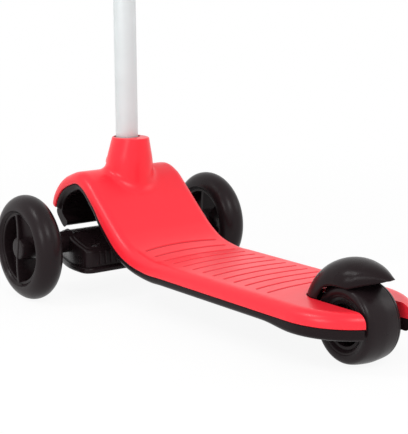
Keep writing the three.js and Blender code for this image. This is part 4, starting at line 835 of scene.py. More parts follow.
class DeckLine:
    """The deck's top line from the arch's front lip to the tail, and the sections that stand on it."""

    def __init__(self, deck):
        self.deck = deck
        runs = [(run * deck.arch_front, rise) for run, rise in ARCH_FRONT_SHARES]
        runs += [(-run * deck.arch_run, rise) for run, rise in ARCH_REAR_SHARES]
        self.curve = smooth_curve([(y, deck.height + deck.arch_rise * rise) for y, rise in runs], 60)
        self.path = np.r_[0, np.cumsum(np.linalg.norm(np.diff(self.curve, axis=0), axis=1))]
        self.end = self.path[-1]
        self.skirt_share = smooth_table(SKIRT_SHARES)[0]
        self.tail_start = -WHEELBASE + deck.tail_lead
        self.slot_front = -WHEELBASE + deck.slot_lead
        self.seam_height = deck.height - deck.skirt
        self.pan_floor = self.seam_height - deck.pan_depth
        self.brake_pin = np.array([0, self.slot_front - PIN_BEHIND, deck.height - PIN_DROP])
        self.screws = [
            (side * (DECK_HALF - SCREWS_INSET), y, 0)
            for y in (-deck.arch_run - SCREWS_BEHIND_ARCH, self.slot_front + SCREWS_AHEAD_OF_SLOT)
            for side in SIDES
        ]

    def height_at(self, y):
        """The top's height at a place along the deck."""
        return np.interp(-np.asarray(y, float), -self.curve[:, 0], self.curve[:, 1])

    def distance_to(self, y):
        """How far along the path a place on the arch lies."""
        return np.interp(-y, -self.curve[:, 0], self.path)

    def rows(self, arch, flat=(), tail=()):
        """Sections at path distances on the arch, at places on the flat, and at degrees round the tail."""
        deck = self.deck
        arch, flat, turn = np.asarray(arch, float), np.asarray(flat, float), np.radians(np.asarray(tail, float))
        (y, z), ahead, back = [
            [np.interp(arch + step, self.path, self.curve[:, k]) for k in (0, 1)] for step in (0, 0.5, -0.5)
        ]
        ty, tz = ahead[0] - back[0], ahead[1] - back[1]
        size = np.hypot(ty, tz)
        level, straight = len(flat) + len(turn), len(arch) + len(flat)
        normal = np.stack([np.cos(turn) / DECK_HALF, np.sin(turn) / deck.tail_length])
        normal /= np.linalg.norm(normal, axis=0)
        low = self.seam_height - deck.arm_bottom
        grow = eased(-self.tail_start - 43, -self.tail_start, -flat)
        deepening = deck.pan_depth + (low - deck.pan_depth) * grow
        return SimpleNamespace(
            y=np.r_[y, flat, self.tail_start - deck.tail_length * np.sin(turn)],
            z=np.r_[z, np.full(level, deck.height)],
            ty=np.r_[ty / size, np.full(level, -1.0)],
            tz=np.r_[tz / size, np.zeros(level)],
            half=np.r_[np.full(straight, DECK_HALF), DECK_HALF * np.cos(turn)],
            across=np.r_[np.ones(straight), normal[0]],
            along=np.r_[np.zeros(straight), normal[1]],
            skirt=deck.skirt * np.r_[self.skirt_share(arch / self.end), np.ones(level)],
            pan=np.r_[np.full(len(arch), deck.pan_depth), deepening, np.full(len(turn), low)],
        )

    def places(self, rows, inward, depth):
        """Points set in from the side and down from the top, one set for each row."""
        x = rows.half[:, None] - inward * rows.across[:, None]
        y = rows.y[:, None] - depth * rows.tz[:, None] - inward * (rows.along * rows.ty)[:, None]
        z = rows.z[:, None] + depth * rows.ty[:, None] - inward * (rows.along * rows.tz)[:, None]
        return np.stack([x, y, z], -1)

    def section_rings(
        self, rows, inset, top, bottom, top_radius=0, bottom_radius=0, steps=6, columns=None, shrink=None
    ):
        """Closed rings round the sections, from the left's foot over the top to the right's foot."""
        shrink = np.zeros(len(rows.y)) if shrink is None else shrink
        top, bottom = np.broadcast_to(top, rows.y.shape) + shrink, np.broadcast_to(bottom, rows.y.shape) - shrink
        turn = np.linspace(0, math.pi / 2, steps + 1)
        up, down = [np.maximum(radius - shrink, 0.05)[:, None] for radius in (top_radius, bottom_radius)]
        inset = inset + shrink[:, None]
        inward = np.hstack([inset + down * (1 - np.sin(turn)), inset + up * (1 - np.cos(turn))])
        depth = np.hstack([bottom[:, None] - down * (1 - np.cos(turn)), top[:, None] + up * (1 - np.sin(turn))])
        side = self.places(rows, inward, depth)
        middle = [] if columns is None else [self.bowed_top(side[:, -1:], columns)[:, 1:-1]]
        return np.concatenate([side * [-1, 1, 1], *middle, side[:, ::-1]], 1)

    def bowed_top(self, edge, columns):
        """Columns across the top between its edges, each row bowed forward where the grooves are."""
        inner = np.repeat(edge, len(columns), 1)
        inner[..., 0] *= columns / max(columns)
        lead = self.deck.groove_bow * np.maximum(0, 1 - (inner[..., 0] / self.deck.groove_half) ** 2)
        fade = eased(*BOW_START, -inner[..., 1]) * (1 - eased(*BOW_END, -inner[..., 1]))
        bowed = inner[..., 1] + lead * fade
        inner[..., 2] += np.where(fade > 0, self.height_at(bowed) - self.height_at(inner[..., 1]), 0)
        inner[..., 1] = bowed
        return inner

    def loft(self, rows, **sizes):
        return skinned(self.section_rings(rows, **sizes))

    def below(self, rows, depth):
        """The (y, z) line a depth below the top."""
        return np.stack([rows.y - depth * rows.tz, rows.z + depth * rows.ty], -1)

    def slot(self, grow=0.0, low=0.0):
        """A cutter for the rear wheel's slot, grown on its three sides."""
        deck = self.deck
        half, front = deck.slot_half + grow, self.slot_front + grow
        past = self.tail_start - deck.tail_length - deck.slot_corner - OVERRUN
        plan = [(-half, past), (half, past), (half, front), (-half, front)]
        return slab(rounded(plan, [0, 0, deck.slot_corner, deck.slot_corner], 12), low, NECK_TOP, SHARP, 1)


def groove_rows(deck):
    """Row places along the deck with many rows over each groove and few between them."""
    over = np.r_[-GROOVE_ROW_SHARES[::-1], 0, GROOVE_ROW_SHARES] * deck.groove_width
    places = [-deck.groove_first - k * deck.groove_pitch + off for k in range(deck.groove_count) for off in over]
    places += [
        -deck.groove_first - (k + 0.5) * deck.groove_pitch + off
        for k in range(-1, deck.groove_count)
        for off in (-4.5, 0, 4.5)
    ]
    return np.sort(np.array(places))[::-1]


def neck_patch(line, border, edge=1.3):
    """The neck's wall, its soft foot and the deck round it, one column of points for each border point."""
    deck = line.deck
    widths, lengths_of, setbacks = smooth_table(NECK_SHARES)

    def wall(drop_share, turn, shrink=0.0):
        half = deck.neck_half_width * widths(drop_share) - shrink
        run = deck.neck_half_length * lengths_of(drop_share) - shrink
        x = half * np.cos(turn)
        y = run * np.sin(turn) - deck.neck_setback * setbacks(drop_share)
        return np.stack([x, y, NECK_TOP - deck.neck_base * drop_share + 0 * x], -1)

    def on_deck(plan):
        return np.c_[plan, line.height_at(plan[:, 1])]

    foot_half, foot_run = deck.neck_half_width * widths(1.0), deck.neck_half_length * lengths_of(1.0)
    turn = np.arctan2((border[:, 1] + deck.neck_setback * setbacks(1.0)) / foot_run, border[:, 0] / foot_half)
    fine = np.linspace(0, 1.25, 400)
    sample = wall(np.repeat(fine[:, None], len(turn), 1), np.repeat(turn[None], len(fine), 0))
    foot = fine[np.argmax(sample[..., 2] <= line.height_at(sample[..., 1]), 0)]
    corner = wall(foot, turn)
    start = np.maximum(foot - deck.neck_fillet / deck.neck_base, 0.12)
    away = border[:, :2] - corner[:, :2]
    reach = np.linalg.norm(away, axis=1)
    landing = on_deck(corner[:, :2] + away / reach[:, None] * np.minimum(deck.neck_fillet, reach * 0.8)[:, None])
    upper = wall(start, turn)
    first = edge / deck.neck_base
    stations = [
        wall(first * (1 - math.sin(a)) + 0 * turn, turn, edge * (1 - math.cos(a)))
        for a in np.linspace(math.pi / 2, 0, 6)
    ]
    stations += [wall(first + (start - first) * down, turn) for down in np.linspace(0, 1, 30)[1:]]
    for t in np.linspace(0, 1, 13)[1:]:
        stations.append((1 - t) ** 2 * upper + 2 * t * (1 - t) * corner + t * t * landing)
    stations += [on_deck(landing[:, :2] * (1 - t) + border[:, :2] * t) for t in np.linspace(0, 1, 6)[1:-1]]
    return np.array(stations + [border])


def deck_outside(line):
    """The red moulding's outside: arch, deck, tail and neck in one closed skin."""
    deck = line.deck
    lip, edge_steps = 2.4, 8
    turns = np.linspace(math.pi / 2, 0, 7)
    grooved = groove_rows(deck)
    on_arch = grooved > line.curve[-1, 0]
    before = np.arange(lip + 1.5, line.distance_to(grooved[0] + 4), 2.2)
    arch = np.r_[lip * (1 - np.sin(turns)), before, line.distance_to(grooved[on_arch])]
    flat = grooved[~on_arch]
    flat = np.r_[flat, np.arange(flat[-1] - 5, line.tail_start + 2, -5.0), line.tail_start]
    rows = line.rows(np.unique(np.round(arch[arch < line.end], 4)), flat, np.arange(4, TAIL_DEGREES, 3.1))
    shrink = np.zeros(len(rows.y))
    shrink[: len(turns)] = lip * (1 - np.cos(turns))
    columns = np.array([-x for x in TOP_COLUMNS] + TOP_COLUMNS[::-1], float)
    rings = line.section_rings(rows, 0, 0, rows.skirt, deck.edge_radius, 0.9, edge_steps, columns, shrink)
    # A hole in the top, whose border the neck's own skin starts from
    left, right = [2 * edge_steps + 1 + int(np.argmin(abs(columns - x))) for x in (-NECK_HOLE_HALF, NECK_HOLE_HALF)]
    front, rear = [int(np.argmin(abs(rows.y - y))) for y in NECK_HOLE_ENDS]
    keep = np.ones((rings.shape[0] - 1, rings.shape[1]), bool)
    keep[front:rear, left:right] = False
    skin = Form().grid(rings, round_columns=True, keep=keep).cap(rings[0]).cap(rings[-1])
    ahead, behind = rings[front, left:right], rings[rear, right:left:-1]
    patch = neck_patch(line, np.vstack([ahead, rings[front:rear, right], behind, rings[rear:front:-1, left]]))
    return skin.grid(patch, round_columns=True).cap(patch[0])


def deck_shell_piece(deck):
    line = DeckLine(deck)
    made = object_of(deck_outside(line))
    shaped_by(made, groove_tree(), {**groove_values(deck), "Depth": deck.groove_depth * MM}, "red_shell")
    flat, tail = np.linspace(LEVEL_START, line.tail_start, 12), np.arange(11, TAIL_DEGREES, 5)
    inner = line.rows(np.arange(13, line.end, 5), flat, tail)
    under = inner.skirt + OVERRUN
    hollow = line.loft(inner, inset=deck.wall, top=deck.wall, bottom=under, top_radius=deck.edge_radius - deck.wall)
    cut(made, cut(object_of(hollow), line.slot(deck.wall)))
    bore = STEM_RADIUS + FIT_GAP
    socket = sleeve(STEM_RADIUS, bore + 4.2, STEM.low[2], deck.height + deck.arch_rise - 2, 0.2, "z")
    back, front = BUTTON.low[1] - 4, BUTTON.high[1]
    boss_profile = [
        (0, back), (13.5, back), (12.6, front - 9.6), (11.4, front - 5.6),
        (10.3, front - 2.6), (9.6, front - 1.4), (8.4, front - 1.1), (0, front - 1.1),
    ]
    boss = lathe(boss_profile, [0, 0, 3, 3, 2, 0.8, 0.5, 0], 64, "y")
    bosses = [
        rod(SCREW_BOSS_RADIUS, SCREW_BOSS_FOOT, deck.height - 2, 0.2, "z", 32).moved(place) for place in line.screws
    ]
    joined(made, socket.moved((0, STEM_Y, 0)), boss.moved((0, 0, BUTTON_HEIGHT)), *bosses)
    in_stem, in_boss = (0, STEM_Y, 0), (0, 0, BUTTON_HEIGHT)
    pin_half = deck.slot_half + PIN_PAST_SLOT
    cut(
        made,
        line.slot(),
        drill(bore, STEM.low[2] - OVERRUN, NECK_TOP + OVERRUN, "z", 96, in_stem),
        drill(bore + 2 + FIT_GAP, NECK_TOP - 9.3, NECK_TOP + OVERRUN, "z", 96, in_stem),
        drill(BUTTON_RADIUS + FIT_GAP, BUTTON.low[1] - 3, NECK_TOP, "y", 64, in_boss),
        drill(NOSE_BORE, STEM_Y, BUTTON.low[1], "y", 32, in_boss),
        drill(PIN_BORE, -pin_half, pin_half, "x", 32, line.brake_pin),
        *(drill(DECK_SCREW_BORE, SCREW_HOLE_FOOT, SCREW_HOLE_TIP, "z", 32, place) for place in line.screws),
    )
    finished(made, "deck_shell", "moulding", "deck", "red_shell")


def along_kingpin(form, truck):
    return form.moved((0, 0, FRONT_RADIUS)).leaned(truck.lean, np.array([0, 0, FRONT_RADIUS]))


def kingpin_drill(truck, radius, start, end, steps=64):
    """A cutter for a round hole along the kingpin."""
    return along_kingpin(drill(radius, start, end, "z", steps), truck)


def kingpin_pillar(line, truck, half):
    """The pillar that carries the kingpin, cut off where it meets the arch."""
    profile = [(0, 20.1), (15.5, 20.1), (15.5, 31), (17.5, 36), (24, KINGPIN_TOP), (0, KINGPIN_TOP)]
    pillar = object_of(along_kingpin(turned(profile, 64, "z"), truck))
    rows = line.rows(np.arange(10, line.distance_to(-line.deck.arch_front), 4))
    ceiling = line.below(rows, rows.skirt + rows.pan - 1.5)
    low = [(ceiling[-1, 0], FRONT_RADIUS), (ceiling[0, 0], FRONT_RADIUS)]
    return common(pillar, across(np.vstack([ceiling, low]), half))


def under_frame_piece(deck, truck):
    line = DeckLine(deck)
    near_lip = [0, 0.4, 1.2, 2.4]
    flat = np.linspace(LEVEL_START, line.tail_start, 40)
    rows = line.rows(np.r_[near_lip, np.arange(4, line.end, 2.5)], flat, np.arange(3, TAIL_DEGREES, 3))
    shrink = np.zeros(len(rows.y))
    shrink[: len(near_lip)] = [2.2, 1.3, 0.5, 0]
    tray = line.loft(
        rows, inset=deck.pan_inset, top=rows.skirt + deck.seam, bottom=rows.skirt + rows.pan,
        top_radius=0.5, bottom_radius=5 + 2.2 * eased(-70, -10, rows.y), shrink=shrink,
    )
    made = object_of(tray)
    # The rim that stands up inside the red shell, and the hollow between its sides
    rim_inset, rim_rise = deck.wall + FIT_GAP, 2.5
    flat, tail = np.linspace(LEVEL_START, line.tail_start, 20), np.arange(6, TAIL_DEGREES, 6)
    inner = line.rows(np.arange(16, line.end, 4), flat, tail)
    joined(made, line.loft(inner, inset=rim_inset, top=inner.skirt - rim_rise, bottom=inner.skirt + 3))
    cavity = line.rows(np.arange(13, line.end, 4), np.linspace(LEVEL_START, line.slot_front + 12, 12))
    open_top = cavity.skirt - rim_rise - OVERRUN
    cut(made, line.loft(cavity, inset=rim_inset + 3, top=open_top, bottom=cavity.skirt + cavity.pan - 3))
    half = DECK_HALF - rim_inset
    foot, first_rib = line.pan_floor + 1, -deck.arch_run - 10
    long_ribs = [
        block((x - 1.5, x + 1.5), (line.slot_front + 9, first_rib), (foot, deck.height - 4.3)) for x in (-24, 24)
    ]
    cross_rib = block((-half + 1.5, half - 1.5), (first_rib - 3, first_rib), (foot, deck.height - 4.6))
    joined(made, *long_ribs, row_of(cross_rib, 3, (0, -62, 0), "black_plastic"))
    lip_y, lip_z = line.below(rows, rows.skirt)[3]
    drop = 22.7
    nose = smooth_curve([(lip_y + drop * y, lip_z + drop * z) for y, z in NOSE_SHARES], 8)
    joined(made, across(nose, half, 1.2), kingpin_pillar(line, truck, half))
    y, keeper_top = -WHEELBASE, REAR_RADIUS - KEEPER_DEPTH
    keeper_screws = [(side * KEEPER_SCREW_X, y - KEEPER_SCREW_BEHIND, 0) for side in SIDES]
    cut(
        made,
        line.slot(FIT_GAP),
        line.slot(rim_inset, line.seam_height),
        drill(AXLE_BORE, -SADDLE_HALF, SADDLE_HALF, "x", 32, REAR_MIDDLE),
        block((-SADDLE_HALF, SADDLE_HALF), (y - AXLE_BORE, y + AXLE_BORE), (0, REAR_RADIUS)),
        *(block(span(side, *KEEPER_SEAT), (y - KEEPER_HALF, y + KEEPER_HALF), (0, keeper_top)) for side in SIDES),
        *(drill(DECK_SCREW_HEAD, 0, line.pan_floor + 1.6, at=place) for place in line.screws),
        *(drill(DECK_SCREW_BORE, 0, DECK_SCREW_END, "z", 32, place) for place in line.screws),
        *(drill(KEEPER_SCREW_BORE, 0, KEEPER_SCREW_END, "z", 32, place) for place in keeper_screws),
        kingpin_drill(truck, KINGPIN_BORE, 0, KINGPIN_TOP, 48),
        kingpin_drill(truck, KINGPIN_NUT_BORE, KINGPIN_NUT_FROM, KINGPIN_TOP + OVERRUN, 48),
        *liner_recesses(line),
    )
    finished(made, "under_frame", "moulding", "deck", "black_plastic")


def liner_recesses(line):
    """Shallow oval hollows in the arch liner's underside, two on each side."""
    made = []
    ball = [(math.sin(a), -math.cos(a)) for a in np.linspace(0, math.pi, 17)]
    ball[0], ball[-1] = (0, -1), (0, 1)
    for distance in (12.0, 34.0):
        row = line.rows([distance])
        y, z = line.below(row, row.skirt + row.pan)[0]
        for side in SIDES:
            oval = turned(ball, 32, "z")
            oval.points = oval.points * [6.5, 5, 1.8]
            oval.leaned(-math.atan2(row.tz[0], -row.ty[0]))
            made.append(oval.moved((side * (DECK_HALF - 17), y, z)))
    return made


# Shapes of the truck


def truck_plan(truck, grow=0.0):
    """The truck's plan, counter-clockwise from its rear left corner, its corners rounded."""
    corner, reach = truck.reach - truck.corner_run + grow / 2, truck.reach + grow
    rear, front = -truck.rear - grow, truck.front + grow
    right = [(reach, rear), (reach, -truck.shoulder), (corner, front)]
    outline = [(-reach, rear)] + right + [(-x, y) for x, y in reversed(right[1:])]
    return rounded(outline, truck.corner_radius + grow, 8)


def to_outline(x, y, outline):
    """How far each point lies inside a closed outline."""
    points = np.stack([x, y], -1)[..., None, :]
    run = np.roll(outline, -1, 0) - outline
    size = np.maximum((run**2).sum(-1), 1e-9)
    t = np.clip(((points - outline) * run).sum(-1) / size, 0, 1)
    return np.linalg.norm(points - (outline + t[..., None] * run), axis=-1).min(-1)


def truck_screw_places(truck):
    return [(side * (truck.reach - inset), y, 0) for inset, y in TRUCK_SCREWS for side in SIDES]


def hanger_top(truck, x, y, outline):
    """Height of the hanger's top: its slope, its rounded rim, a raised border, screw rings and pads."""
    slope = [
        (-truck.rear - 4, 55.4), (-truck.rear, 57), (-27, 63.6), (-4, 69), (8, truck.top), (18, truck.top - 0.3),
        (29, 66), (truck.front, 60), (truck.front + 4, 57.5),
    ]
    slope = smooth_curve(slope, 20)
    z = np.interp(y, slope[:, 0], slope[:, 1])
    inside = to_outline(x, y, outline)
    rim = 3.0
    z = z - (rim - np.sqrt(np.maximum(rim**2 - np.maximum(rim - inside, 0) ** 2, 0)))
    # A raised border with a sunk field inside it, a low ring round each screw, and an oval pad on each side
    within = eased(7.4, 8.2, inside)
    z = z + truck.border * eased(5.4, 6.2, inside) * (1 - within) - 0.9 * within
    for at_x, at_y, _ in truck_screw_places(truck):
        z = z + 0.45 * (1 - eased(7.2, 7.8, np.hypot(x - at_x, y - at_y)))
    for side in SIDES:
        pad = np.hypot((x - side * (truck.reach - 33)) / 1.7, y + 38)
        z = z + 1.3 * (1 - eased(4.4, 5.6, pad))
    return z


def hanger_skin(truck):
    """The hanger's closed outside, from a grid over its top and a wall down to its foot."""
    outline = truck_plan(truck)
    inner = np.linspace(-truck.rear + RIM_STEPS[-1], truck.front - RIM_STEPS[-1], 80)
    rows = np.r_[-truck.rear + RIM_STEPS, inner[1:-1], truck.front - RIM_STEPS[::-1]]
    right = outline[outline[:, 0] > 0]
    right = right[np.argsort(right[:, 1], kind="stable")]
    half = np.interp(rows, right[:, 1], right[:, 0])[:, None]
    middle = (half - RIM_STEPS[-1]) * np.linspace(-1, 1, 140)
    x = np.hstack([-half + RIM_STEPS, middle[:, 1:-1], half - RIM_STEPS[::-1]])
    y = np.repeat(rows[:, None], x.shape[1], 1)
    top = np.stack([x, y, hanger_top(truck, x, y, outline)], -1)
    ring = np.vstack([top[0], top[1:, -1], top[-1, -2::-1], top[-2:0:-1, 0]])
    foot = ring * [1, 1, 0] + [0, 0, truck.bottom]
    return Form().grid(top).grid(np.array([ring, foot]), round_columns=True).cap(foot)


def truck_hanger_piece(truck):
    made = object_of(hanger_skin(truck))
    axle, screws = (0, 0, FRONT_RADIUS), truck_screw_places(truck)
    arm = (truck.reach - 10, truck.reach + truck.arm)
    joined(made, *(rod(truck.arm_radius, *span(side, *arm), 1.4).moved(axle) for side in SIDES))
    for side in SIDES:
        rib = block((-1.1, 1.1), (-1.6, 2.5), (truck.bottom + 2, 56), 0.5).moved((side * 36, -truck.rear, 0))
        joined(made, row_of(rib, 5, (side * 7.5, 0, 0), "black_plastic"))
    cutters, above = [], truck.top + 10
    for side in SIDES:
        columns = [rod(6.5, -1, 60, SHARP, "z", 32).moved(place) for place in screws if place[0] * side > 0]
        cutters += [
            cut(object_of(block(span(side, 28, truck.reach - 20), (-47, 32), (0, 54), 2.5)), *columns),
            block(span(side, *AXLE_NUT_SLOT), (-AXLE_NUT_HALF, AXLE_NUT_HALF), (0, AXLE_NUT_TOP)),
            drill(AXLE_BORE, *span(side, *FRONT_AXLE_HOLE), "x", at=axle),
        ]
    for number, place in enumerate(screws, 1):
        seat = packed(f"truck_screw_{number}").high[2] - TRUCK_SCREW_SEAT
        cutters += [
            drill(TRUCK_SCREW_BORE, 0, above, "z", 32, place),
            drill(TRUCK_SCREW_HEAD, seat, above, at=place),
        ]
    cutters.append(kingpin_drill(truck, *TRUCK_KINGPIN, 48))
    cut(made, *cutters, kingpin_drill(truck, *UPPER_BUSHING), kingpin_drill(truck, *LOWER_BUSHING))
    finished(made, "truck_hanger", "moulding", "truck", "black_plastic")


def undertray_piece(truck):
    made = object_of(slab(truck_plan(truck, truck.tray_lip), truck.bottom - truck.tray_depth, truck.bottom, 2.5, 6))
    screws = truck_screw_places(truck)
    blind = [drill(TRUCK_SCREW_BORE, truck.bottom - 3.5, truck.top + 10, "z", 32, place) for place in screws]
    cut(made, kingpin_drill(truck, *TRAY_KINGPIN), *blind)
    finished(made, "truck_undertray", "moulding", "truck", "black_plastic")


# Shapes of the wheels


def rim_form(outer, wall, half, edge, steps):
    """A hub's round rim, its outer corners nearly sharp for the tyre."""
    profile = [(outer - wall, -half), (outer, -half), (outer, half), (outer - wall, half)]
    return turned(rounded(profile, [edge, 0.3, 0.3, edge], 4), steps)


def hub_bores(inner):
    """Cutters for the axle's clearance and the two bearing seats, which start inner from the hub's middle."""
    ends = [(HUB_CLEARANCE, -THROUGH, THROUGH), (BEARING_SEAT, inner, THROUGH), (BEARING_SEAT, -THROUGH, -inner)]
    return [drill(*end, "x", 64) for end in ends]


def front_tyre_piece(wheels, side):
    half = FRONT.half[0]
    turns = np.linspace(-math.pi / 2, math.pi / 2, 49)
    arc = [(FRONT_RADIUS - half + half * math.cos(a), half * math.sin(a)) for a in turns]
    arc[len(arc) // 2] = (FRONT_RADIUS, 0)
    mouth = wheels.mouth_radius - 0.7
    lead = [(wheels.front_bore, -wheels.hub_half), (mouth, -half + 1.2), (mouth + 0.25, -half + 0.35)]
    made = object_of(turned(lead + arc + mirrored(lead), 160).moved(FRONT_MIDDLE * [side, 1, 1]))
    finished(made, f"{SIDES[side]}_tyre", "tread", f"{SIDES[side]}_front_wheel", "wheel_tread")


def hub_blade(wheels, start, inner, outer):
    """One helical blade between boss and rim."""
    t = wheels.blade_thickness / 2
    share = np.linspace(0, 1, 49)
    turns = np.radians(start) - wheels.blade_turn * share
    middles = wheels.hub_half - t - 0.6 - wheels.blade_rise * share
    edges = [(inner, t), (outer, t), (outer, -t), (inner, -t)]
    return skinned(
        [[(m + off, r * math.sin(a), -r * math.cos(a)) for r, off in edges] for a, m in zip(turns, middles)]
    )


def hub_ridge(wheels, run, foot):
    """The bent ridge across the wheel's open side, from a distance below its middle to the same above."""
    reach = wheels.front_bore - FIT_GAP - wheels.rim_wall / 2
    along = np.linspace(-run, run, 61)
    bend = wheels.ridge_bend * np.sin(along / reach * math.pi)
    thick, top = wheels.ridge_thickness / 2, wheels.ridge_height
    ring = rounded([(foot, -thick), (top, -thick), (top, thick), (foot, thick)], [0, 0.9, 0.9, 0], 4)
    return skinned([[(x, y + b, z) for x, y in ring] for z, b in zip(along, bend)])


def on_wheel(made, side, node, ending):
    """Moves a piece made for the right wheel, its axle along X through the origin, to its wheel, and ends it."""
    turn = Matrix.Identity(4) if side > 0 else Matrix.Rotation(math.pi, 4, "Z")
    centre = Vector(FLOOR_UNDER_AXLE + FRONT_MIDDLE * [side, 1, 1] * MM)
    made.data.transform(Matrix.Translation(centre) @ turn @ Matrix.Translation(-Vector(FLOOR_UNDER_AXLE)))
    finished(made, f"{SIDES[side]}_{node}", ending, f"{SIDES[side]}_front_wheel", "black_hub")


def hub_cap_piece(wheels, side):
    cap = packed(f"{SIDES[side]}_hub_cap")
    foot = min(abs(cap.low[0]), abs(cap.high[0])) - FRONT_MIDDLE[0]
    radius = cap.half[2]
    made = object_of(rod(radius, foot, foot + 0.6, 0.25, "x", 96))
    joined(made, hub_ridge(wheels, radius - 0.4, foot + 0.1))
    on_wheel(made, side, "hub_cap", "moulding")


def front_hub_piece(wheels, side):
    rim, boss = wheels.front_bore - FIT_GAP, wheels.boss_radius
    reach = rim - wheels.rim_wall / 2
    made = object_of(rim_form(rim, wheels.rim_wall, wheels.hub_half, 1.2, 128))
    boss_profile = [(0, -10.8), (boss, -10.8), (boss, 5), (boss - 1.7, 14.8), (0, 14.8)]
    blades = [hub_blade(wheels, start, boss - 1.1, reach) for start in (0, 180)]
    joined(made, lathe(boss_profile, [0, 1.5, 4, 0.8, 0], corner=4), hub_ridge(wheels, reach, -9), *blades)
    cut(made, *hub_bores(3.5))
    on_wheel(made, side, "hub", "moulding")


def front_wheel_pieces(wheels):
    for side in SIDES:
        for piece in (front_tyre_piece, front_hub_piece, hub_cap_piece):
            piece(wheels, side)


def rear_tyre_piece(wheels):
    half, bore, radius = REAR.half[0], wheels.rear_bore, REAR_RADIUS
    side_wall = [
        (bore, wheels.rear_hub_half), (bore + 2.2, half - 1.6), (bore + 3.2, half - 0.9), (bore + 4.4, half - 0.9),
        (bore + 5.2, half - 0.2),
    ]
    shoulder = [
        (radius - 8, half), (radius - 5.6, half - 0.4), (radius - 3.9, half - 1.4), (radius - 2.6, half - 3.2),
    ]
    mould_line = [(radius - 1.8, half - 5.4), (radius - 2.3, half - 6), (radius - 1.55, half - 6.6)]
    crown = [(radius - 0.9, half * 0.52), (radius - 0.3, half * 0.26)]
    plain_side = shoulder + [(radius - 1.7, half - 6)] + crown
    tread = shoulder + mould_line + crown + [(radius, 0)] + mirrored(plain_side)
    profile = side_wall + smooth_curve(tread, 6).tolist() + mirrored(side_wall)
    finished(object_of(turned(profile, 144).moved(REAR_MIDDLE)), "rear_tyre", "tread", "rear_wheel", "wheel_tread")


def rear_hub_piece(wheels):
    rim = wheels.rear_bore - FIT_GAP
    made = object_of(rim_form(rim, wheels.rear_rim_wall, wheels.rear_hub_half, 1, 96))
    web = rod(rim - wheels.rear_rim_wall / 2, -wheels.rear_web / 2, wheels.rear_web / 2, 0.2, "x", 96)
    spokes = [
        block((-8.5, 8.5), (12, rim - 2), (-1.4, 1.4), 0.5).leaned(turn)
        for turn in np.radians(np.arange(0, 360, 60))
    ]
    joined(made, web, rod(wheels.boss_radius, -16.3, 16.3, 0.8), *spokes)
    cut(made, *hub_bores(9))
    made.data.transform(Matrix.Translation(Vector(REAR_MIDDLE * MM)))
    finished(made, "rear_hub", "moulding", "rear_wheel", "black_hub")


# Shapes of the brake


def fender_ring(fender, angle, shares):
    """The hood's section at an angle about the rear axle: out over the crown, and back under it."""
    crown_share, edge_share, width_share = [share(angle) for share in shares]
    crown = fender.crown + (fender.tip - fender.crown) * crown_share
    edge = fender.edge + (fender.tip - fender.edge) * edge_share
    half = fender.half + (fender.tip_half - fender.half) * width_share
    wall = min(fender.wall, 0.6 * (crown - edge))
    bead = wall / 2
    lean = np.linspace(-math.pi / 2, math.pi / 2, 49)
    round_end = np.linspace(0, math.pi, 7)[1:-1]
    outer, inner = [
        np.stack([(half - depth) * np.sin(lean), edge + (crown - edge - depth) * np.cos(lean)], -1)
        for depth in (0, wall)
    ]
    right, left = [
        np.stack([side * (half - bead) + side * bead * np.cos(round_end), edge - bead * np.sin(round_end)], -1)
        for side in (1, -1)
    ]
    ring = np.vstack([outer, right, inner[::-1], left[::-1]])
    turn = math.radians(angle)
    return np.stack([ring[:, 0], ring[:, 1] * math.cos(turn), ring[:, 1] * math.sin(turn)], -1)


def fender_piece(deck, fender):
    shares = smooth_table(FENDER_SHARES)
    degrees = np.linspace(FENDER_SHARES[0][0], FENDER_SHARES[-1][0], 90)
    made = object_of(skinned([fender_ring(fender, angle, shares) for angle in degrees]).moved(REAR_MIDDLE))
    # The hood's foot, cut level just above the deck
    cut(made, block((-DECK_HALF, DECK_HALF), (-WHEELBASE - 80, -WHEELBASE + 140), (0, deck.height + 1.2)))
    softened(made, 0.8, 3, 50)
    pin = DeckLine(deck).brake_pin
    for side in SIDES:
        x = span(side, 4.5, 15)
        joined(made, rod(6, *x, 0.6, "x", 48).moved(pin), block(x, (-2.5, 2.5), (0, 12)).moved(pin))
    cut(made, drill(PIN_BORE, -DECK_HALF, DECK_HALF, "x", 32, pin))
    finished(made, "brake_fender", "moulding", "brake", "black_plastic")


def shoe_piece():
    turn = np.radians(np.linspace(*SHOE_DEGREES, 25))
    low, high = [
        [((REAR_RADIUS + rise) * math.cos(a), (REAR_RADIUS + rise) * math.sin(a)) for a in turn]
        for rise in (SHOE_GAP, SHOE_TOP)
    ]
    outline = rounded(np.array(low + high[::-1]), 0.6, 2)
    made = object_of(across(outline[::-1], SHOE_HALF, 1.0).moved(REAR_MIDDLE))
    finished(made, "brake_shoe", "moulding", "brake", "bushing_rubber")


def spring_piece(node, axis, wire, turns):
    """A wound spring in place of a packed one that lies along X, axis 0, or along Y, axis 1."""
    part = packed(node)
    run = part.high[axis] - part.low[axis] - 2 * wire
    values = {"Radius": (part.half[2] - wire) * MM, "Height": run * MM, "Wire radius": wire * MM, "Turns": turns}
    made = shaped_by(object_of(block((-1, 1), (-1, 1), (0, 1))), coil_tree(), values, "zinc_steel")
    foot = np.where(np.arange(3) == axis, part.low + wire, part.middle)
    lay = Matrix.Rotation(-math.pi / 2, 4, "X") if axis else Matrix.Rotation(math.pi / 2, 4, "Y")
    made.data.transform(Matrix.Translation(Vector(FLOOR_UNDER_AXLE + foot * MM)) @ lay)
    finished(made, node, "coil", "deck", "zinc_steel")


# Shapes of the handlebar


